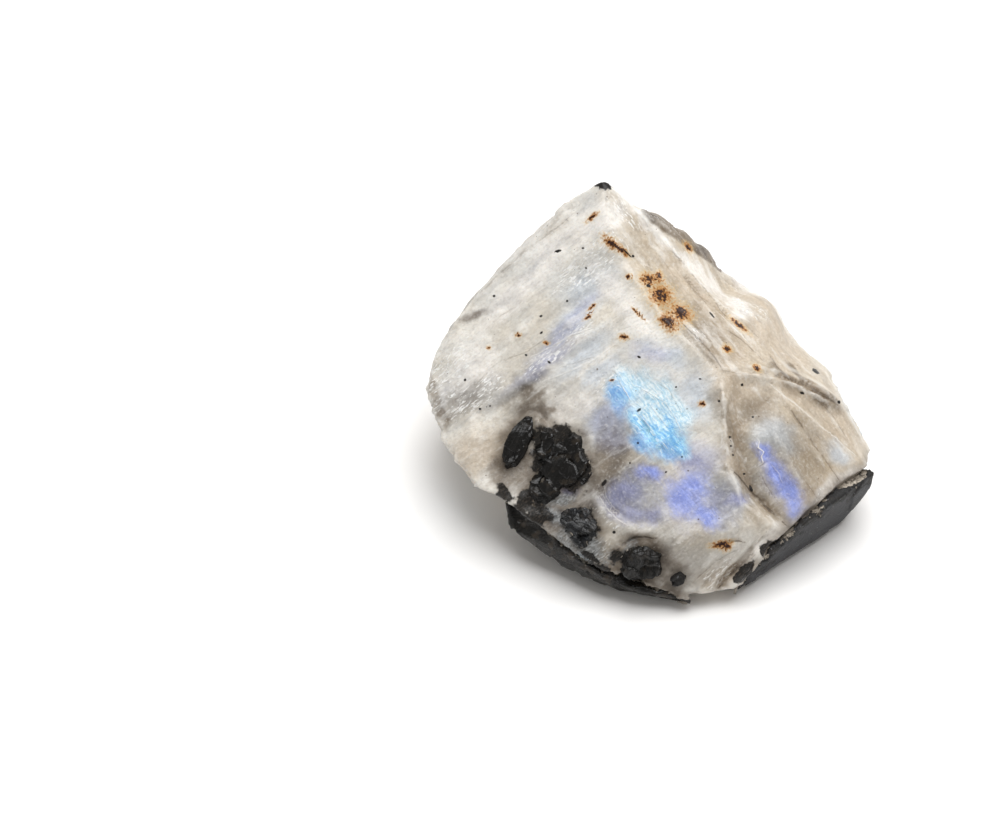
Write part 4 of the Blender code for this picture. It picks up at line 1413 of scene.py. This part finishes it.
def feldspar_surface(tree, colour, middle, fine, flake, sheet, hair):
    """Lays the fine greys and whites of the broken sheets over a colour."""
    colour = darker(tree, ramp(tree, fine, *GREY_DUST), colour, GREY_DUST_TONE)
    colour = darker(tree, times(tree, sheet, SHEET_SHARE), colour, SHEET_TONE)
    colour = darker(tree, ramp(tree, flake, *GREY_FLAKES), colour, GREY_FLAKE_TONE)
    colour = blend(tree, ramp(tree, fine, *WHITE_DUST), colour, DUST_WHITE)
    hairs = times(tree, ramp(tree, hair, *HAIRS), ramp(tree, middle, *HAIR_PATCHES))
    return darker(tree, hairs, colour, HAIR_TONE)


def feldspar_glints(tree, grain, flakes, sparkle, calm):
    """Where the painted white glints lie, from 0 to 1."""
    zone = scaled(tree, sparkle, ZONE_SHARE, ZONE_BASE)
    chosen = ramp(tree, calc(tree, "ADD", flakes["Flake"], zone), *CHOSEN_FLAKES)
    round_flakes = times(tree, chosen, scaled(tree, flakes["Tint"], *ROUND_TINT))
    strokes = use(tree, FLAKES, Grain=pushed(tree, grain, *STROKE_PUSH), Length=0.7, Width=0.15)
    chosen = ramp(tree, scaled(tree, zone, STROKE_ZONE, strokes["Flake"]), *CHOSEN_FLAKES)
    long_flakes = times(tree, chosen, scaled(tree, strokes["Tint"], *LONG_TINT))
    painted_glints = calc(tree, "MAXIMUM", round_flakes, long_flakes)
    return times(tree, painted_glints, scaled(tree, calm, *CALM_SHARE), scaled(tree, sparkle, *SPARKLE_SHARE))


brightest = round(CHOSEN_FLAKES[0] - ZONE_SHARE - ZONE_BASE, 2)
print("in a sparkle zone the flakes flash that have a number above", brightest)

# %% [markdown]
# ## The feldspar material
# The milky mineral lets light in and scatters it, so the shader has some subsurface scattering.
# Its colour is the layers above, one over the other. The finest relief is only bump, because it
# is smaller than the squares of the mesh: a strong displacement would need millions of them.

# %% Feldspar material
# Each: size in mm, and how far it pushes or how much detail it has.
RAGGED_PUSH, FLAKE_PUSH, GRAIN_PUSH = (1.2, 0.8), (0.4, 0.1), 0.4
MIDDLE_NOISE, FINE_NOISE = (1.5, 3.0), (0.3, 4.0)
# Each: how much it lifts the surface.
LIFTS = {"hair": 0.3, "flake": 0.4, "sheet": 0.5, "fine": 0.5, "line": 0.8}
BUMP_HEIGHT = 0.1 * MM
# The roughness of clean feldspar, and what noise, the painted glints and black mineral add to it.
ROUGHNESS, ROUGHNESS_NOISE, GLINT_GLOSS, INK_GLOSS = 0.26, 0.3, -0.2, -0.2


def feldspar_grain(tree, ragged, place):
    """The grain of the mesh, shaken a little."""
    push = vector(tree, "SCALE", vector(tree, "SUBTRACT", ragged, place), GRAIN_PUSH)
    return vector(tree, "ADD", attribute(tree, "grain", "Vector"), push)


def feldspar():
    """The milky mineral with everything that lies in it and on it."""
    material, tree, shader = new_material("feldspar")
    place = place_in_mm(tree)
    ragged = pushed(tree, place, *RAGGED_PUSH)
    grain = feldspar_grain(tree, ragged, place)
    middle, fine = cloud(tree, ragged, *MIDDLE_NOISE), cloud(tree, place, *FINE_NOISE)
    long = use(tree, LINES, Grain=grain, Length=7.0, Width=1.5)["Lines"]
    hair = use(tree, LINES, Grain=grain, Length=2.6, Width=0.13)["Lines"]
    flakes = use(tree, FLAKES, Grain=pushed(tree, grain, *FLAKE_PUSH), Length=0.36, Width=0.1)
    flake = flakes["Flake"]
    sheet = use(tree, FLAKES, Grain=grain, Length=2.0, Width=0.42)["Flake"]

    colour = feldspar_veils(tree, ragged, middle, long)
    colour, light, calm = feldspar_glows(tree, colour, ragged, middle)
    colour = feldspar_surface(tree, colour, middle, fine, flake, sheet, hair)
    sparkle = masked(tree, "sparkle", middle, *SPARKLE_ZONES)
    painted_glints = feldspar_glints(tree, grain, flakes, sparkle, calm)
    colour = blend(tree, painted_glints, colour, GLINT_WHITE)
    colour, relief = feldspar_hairlines(tree, colour, middle, fine)
    colour, ink = feldspar_darks(tree, colour, middle, fine, flake)
    colour = feldspar_spots(tree, colour, place)
    light = blend(tree, calc(tree, "SUBTRACT", 1.0, ink), NO_LIGHT, light)

    height = times(tree, hair, LIFTS["hair"])
    height = scaled(tree, times(tree, flake, sparkle), LIFTS["flake"], height)
    for value, kind in ((sheet, "sheet"), (fine, "fine"), (relief, "line")):
        height = scaled(tree, value, LIFTS[kind], height)
    bump = put(tree, "Bump", {"Strength": 1.0, "Distance": BUMP_HEIGHT, "Height": height}).outputs[0]
    roughness = scaled(tree, fine, ROUGHNESS_NOISE, ROUGHNESS)
    roughness = scaled(tree, painted_glints, GLINT_GLOSS, roughness)
    roughness = scaled(tree, ink, INK_GLOSS, roughness)
    fill(tree, shader, {
        "Base Color": colour, "Emission Color": light, "Emission Strength": 0.5,
        "Normal": bump, "Roughness": roughness, "IOR": 1.53, "Specular IOR Level": 0.35,
        "Subsurface Weight": 0.2, "Subsurface Radius": (1.0, 0.85, 0.7), "Subsurface Scale": 0.5 * MM,
    })
    return material


# %% [markdown]
# ## The lump becomes a piece
# A piece is an object in metres that rides on the stone's one body and stands for its CAD node.
# Numbers that were worked out for each point travel with the mesh as attributes, so that the
# material can read them and add its own finer edges.

# %% The feldspar piece
def piece(name, skin, node, material, fields):
    """A finished object from a skin."""
    mesh = bpy.data.meshes.new(name)
    mesh.from_pydata((skin.points * MM).tolist(), [], skin.faces.tolist())
    mesh.shade_smooth()
    for label, values in fields.items():
        flat = values.ndim == 1
        domain = "POINT" if len(values) == len(skin.points) else "CORNER"
        field = mesh.attributes.new(label, "FLOAT" if flat else "FLOAT_VECTOR", domain)
        field.data.foreach_set("value" if flat else "vector", values.astype(np.float32).ravel())
    mesh.materials.append(material)
    obj = in_scene(name, mesh)
    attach(obj, "root")
    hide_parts(node)
    return obj


stone = piece("feldspar_lump", lump, "moonstone", feldspar(), fields)
print("feldspar nodes:", len(stone.data.materials[0].node_tree.nodes))

# %% [markdown]
# ## Black tourmaline
# Tourmaline grows as long columns with ribs along them, and breaks in small steps across. Each
# crystal starts as its CAD solid, a little swollen so that the feldspar grips it. Its skin is cut
# into even squares, then ribs along the column and flat broken facets are pressed into it. Where
# it stands only a little above the feldspar, its rim is pushed in here and there, so that the
# feldspar closes over it in ragged teeth.

# %% Broken facets
FACET_TILT, FACET_STEP = 0.7, 0.5


def nearest(places, points):
    """The number of the nearest place to each point, and how far away it is."""
    tree = KDTree(len(places))
    for index, place in enumerate(places):
        tree.insert(place, index)
    tree.balance()
    found = [tree.find(p)[1:] for p in points]
    return np.array([index for index, gap in found]), np.array([gap for index, gap in found])


def facets(points, size, seed):
    """Flat tilted facets round scattered middles, as the push that each point gets."""
    chance = np.random.default_rng(seed)
    low, high = points.min(axis=0) - size, points.max(axis=0) + size
    number = int(np.prod(high - low) / size ** 3)
    middles = chance.uniform(low, high, (number, 3))
    tilts = chance.uniform(-FACET_TILT, FACET_TILT, (number, 3))
    own = nearest(middles, points)[0]
    return np.sum((points - middles[own]) / size * tilts[own], axis=1) + FACET_STEP * tilts[own, 2]


OPEN_GAP = 0.45
open_feldspar = lump.points[crystal_gap > OPEN_GAP]
print(len(open_feldspar), "points of feldspar lie open beside the crystals")

# %% Crystal shapes
# Each: cell in mm, pixels that the ribs run along, rib width, rib depth, facet size, facet depth,
# width and spacing of the teeth of feldspar over its rim.
CRYSTAL_LOOKS = {
    "slab": (0.2, ((720, 590), (868, 485)), 1.2, 0.04, 3.2, 0.1, 0.5, 1.5),
    "seam": (0.2, ((540, 540), (660, 590)), 0.8, 0.14, 2.0, 0.3, 0.3, 1.2),
    "prism": (0.1, ((510, 462), (533, 420)), 0.5, 0.22, 1.7, 0.2, 0.1, 0.8),
    "cluster": (0.12, ((545, 500), (584, 440)), 0.5, 0.1, 1.5, 0.6, 0.12, 1.0),
    "block": (0.1, ((566, 515), (596, 536)), 0.4, 0.08, 1.0, 0.5, 0.3, 1.0),
    "stub": (0.1, ((640, 577), (644, 548)), 0.5, 0.16, 1.3, 0.4, 0.2, 1.0),
    "button": (0.08, ((678, 582), (679, 572)), 0.3, 0.05, 0.7, 0.15, 0.1, 0.6),
}
CRYSTAL_SWELL = 0.16
RIB_SEED, FACET_SEED, PIT_SEED, TEETH_SEED = 31.0, 5, 33.0, 35.0
RIB_STRETCH = (0.05, 1, 1)
PIT_DEPTH, PIT_SIZE = 0.01, 0.4
TEETH_LEAST, TEETH_WAVE = 0.8, 2.2
RIM_PUSH, RIM_SLOPE = 0.3, 0.15
ABOVE_FLOOR = 0.02


def crystal_skin(name, cell, line, rib, rib_depth, facet, facet_depth, tooth, tooth_space):
    """The finished skin of a crystal, with its grain and its distance from the feldspar's teeth."""
    skin = even_skin([swell(solid_of("tourmaline_" + name), CRYSTAL_SWELL)], cell)
    start, end = (seen_at(*pixel) or Vector((index, 0, 0)) for index, pixel in enumerate(line))
    out = skin.normals()
    grain = np.stack([skin.points @ np.array(way) for way in face_frame(-SIGHT, end - start)], axis=1)
    height = rib_depth * rough(grain * RIB_STRETCH, rib, RIB_SEED, 2)
    height += facet_depth * facets(skin.points, facet, FACET_SEED)
    height += PIT_DEPTH * rough(skin.points, PIT_SIZE, PIT_SEED)
    skin.points = skin.points + out * height[:, None]
    rim = nearest(open_feldspar, skin.points)[1]
    teeth = tooth * (TEETH_LEAST + TEETH_WAVE * rough(skin.points, tooth_space, TEETH_SEED, 4))
    push = RIM_PUSH * ease(teeth - rim, 0.0, RIM_SLOPE)
    skin.points = skin.points - out * push[:, None]
    skin.points[:, 2] = np.maximum(skin.points[:, 2], ABOVE_FLOOR)
    return skin, {"grain": grain, "rim": teeth - rim}


print("crystals:", ", ".join(CRYSTAL_LOOKS))

# %% [markdown]
# ## The tourmaline material
# The mineral is black all through, and shows its ribs and breaks by gloss more than by colour.
# A little grey on the rib crests and on some broken sheets, and the small glints, are painted
# highlights. These, brown powder in patches and a crust of feldspar along the rim keep it from
# looking like plastic.

# %% Tourmaline material
CRUST_DARK, CRUST_LIGHT = srgb(104, 96, 86), srgb(196, 186, 172)
POWDER_COLOUR, GLINT_COLOUR = srgb(92, 80, 66), srgb(150, 152, 156)
# Each: how ragged, where the field starts and is full.
RIM_BAND, CRUST = (2.4, -1.2, -0.6), (0.8, 0.0, 0.15)
# Each: where the value starts and is full, strength.
# The grey on rib crests and broken sheets and the glints are painted highlights.
LIT_RIB_CRESTS, LIT_SHEETS = (0.5, 0.75, 0.8), (0.75, 0.8, 0.5)
POWDER, GLINTS, GLINT_PATCHES = (0.5, 0.7), (0.97, 0.98, 0.4), (0.45, 0.6)
CRUST_PATCHES = (0.35, 0.65)
PATCH_WIDTH, FINE_WIDTH = 1.2, 0.35
RIB_BUMP, SHEET_LIFT, FLAKE_LIFT = 0.08 * MM, 0.7, 0.3
PATCH_DULL, CRUST_DULL = 0.22, 0.3


def tourmaline(name, black, highlight_grey, dust, smooth, inner):
    """The black mineral; away from its rim its colour turns to the inner one."""
    material, tree, shader = new_material("tourmaline_" + name)
    place, grain = place_in_mm(tree), attribute(tree, "grain", "Vector")
    lines = use(tree, LINES, Grain=grain, Length=3.0, Width=0.16)["Lines"]
    flake = use(tree, FLAKES, Grain=grain, Length=0.35, Width=0.12)["Flake"]
    sheet = use(tree, FLAKES, Grain=grain, Length=1.3, Width=0.4)["Flake"]
    patch, fine = cloud(tree, place, PATCH_WIDTH), cloud(tree, place, FINE_WIDTH)

    colour = blend(tree, masked(tree, "rim", patch, *RIM_BAND), inner, black)
    colour = blend(tree, ramp(tree, lines, *LIT_RIB_CRESTS), colour, highlight_grey)
    colour = blend(tree, ramp(tree, sheet, *LIT_SHEETS), colour, highlight_grey)
    colour = blend(tree, times(tree, ramp(tree, patch, *POWDER), dust), colour, POWDER_COLOUR)
    glint = times(tree, ramp(tree, flake, *GLINTS), ramp(tree, patch, *GLINT_PATCHES))
    colour = blend(tree, glint, colour, GLINT_COLOUR)
    rim = masked(tree, "rim", fine, *CRUST)
    crust = blend(tree, ramp(tree, fine, *CRUST_PATCHES), CRUST_DARK, CRUST_LIGHT)
    colour = blend(tree, rim, colour, crust)
    height = scaled(tree, sheet, SHEET_LIFT, scaled(tree, flake, FLAKE_LIFT, lines))
    bump = put(tree, "Bump", {"Strength": 1.0, "Distance": RIB_BUMP, "Height": height}).outputs[0]
    roughness = scaled(tree, rim, CRUST_DULL, scaled(tree, patch, PATCH_DULL, smooth))
    fill(tree, shader, {"Base Color": colour, "Normal": bump, "Roughness": roughness, "IOR": 1.63,
                        "Specular IOR Level": 0.25})
    return material


# %% The seven crystals
BLACK, CHARCOAL, GREY = srgb(12, 11, 10), srgb(30, 29, 28), srgb(66, 67, 69)
# Each: colour at the rim, colour of its painted highlights on rib crests and sheets, dust, roughness,
# colour inside.
CRYSTAL_COLOURS = {
    "slab": (srgb(26, 25, 25), srgb(66, 66, 68), 0.1, 0.5, srgb(60, 61, 64)),
    "seam": (srgb(13, 11, 9), srgb(42, 38, 32), 0.35, 0.15, srgb(15, 14, 11)),
    "prism": (BLACK, CHARCOAL, 0.1, 0.08, BLACK),
    "cluster": (BLACK, CHARCOAL, 0.25, 0.08, BLACK),
    "block": (srgb(24, 26, 29), GREY, 0.2, 0.15, srgb(14, 15, 16)),
    "stub": (BLACK, srgb(46, 44, 42), 0.2, 0.08, BLACK),
    "button": (srgb(20, 18, 17), CHARCOAL, 0.1, 0.35, srgb(20, 18, 17)),
}
for name in CRYSTALS:
    skin, crystal_fields = crystal_skin(name, *CRYSTAL_LOOKS[name])
    look = tourmaline(name, *CRYSTAL_COLOURS[name])
    piece(name + "_crystal", skin, "tourmaline_" + name, look, crystal_fields)
    print(name, len(skin.points), "points")

# %% [markdown]
# ## Floor and light
# The stone lies on a white table in a soft tent of light. A large lamp above and behind it
# whitens the tip and the upper faces, and a pale sky fills the shadows.

# %% Floor
FLOOR_HALF = 2.0
FLOOR_COLOUR = srgb(250, 249, 248)


def plain_floor():
    """A matt white table, far wider than the stone."""
    mesh = bpy.data.meshes.new("floor")
    corners = [(x * FLOOR_HALF, y * FLOOR_HALF, 0) for x, y in ((-1, -1), (1, -1), (1, 1), (-1, 1))]
    mesh.from_pydata(corners, [], [(0, 1, 2, 3)])
    material, tree, shader = new_material("floor")
    fill(tree, shader, {"Base Color": FLOOR_COLOUR, "Roughness": 0.9})
    mesh.materials.append(material)
    floor = in_scene("floor", mesh)
    floor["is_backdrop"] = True


plain_floor()
print("floor:", 2 * FLOOR_HALF, "m wide")

# %% Light
# In metres and watts.
LAMP_PLACE, LAMP_SIZE, LAMP_POWER = (0.07, 0.1, 0.45), 0.4, 2.7
LAMP_COLOUR = (0.99, 0.995, 1.0)
LIT_PLACE = Vector((0, 0, 0.01))
SKY_COLOUR, SKY_STRENGTH = (1.0, 0.975, 0.94, 1.0), 0.38

lamp = bpy.data.lights.new("key", "AREA")
lamp.size = LAMP_SIZE
lamp.energy = LAMP_POWER
lamp.color = LAMP_COLOUR
key = in_scene("key", lamp)
key.location = LAMP_PLACE
key.rotation_mode = "QUATERNION"
key.rotation_quaternion = (LIT_PLACE - Vector(LAMP_PLACE)).to_track_quat("-Z", "Y")
world = bpy.data.worlds.new("sky")
world.use_nodes = True
fill(world.node_tree, world.node_tree.nodes["Background"], {"Color": SKY_COLOUR, "Strength": SKY_STRENGTH})
bpy.context.scene.world = world
bpy.context.scene.view_settings.view_transform = "Standard"
bpy.context.scene.view_settings.look = "None"
print("lamp:", LAMP_POWER, "W; sky strength:", SKY_STRENGTH)

# %% [markdown]
# ## The size
# Both boxes, of the CAD model and of the finished stone, are measured and printed side by side.

# %% Sizes
visual_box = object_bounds()
for label, (low, high) in (("CAD", cad_box), ("visual", visual_box)):
    print(label, "size in mm:", [round((b - a) / MM, 1) for a, b in zip(low, high)])
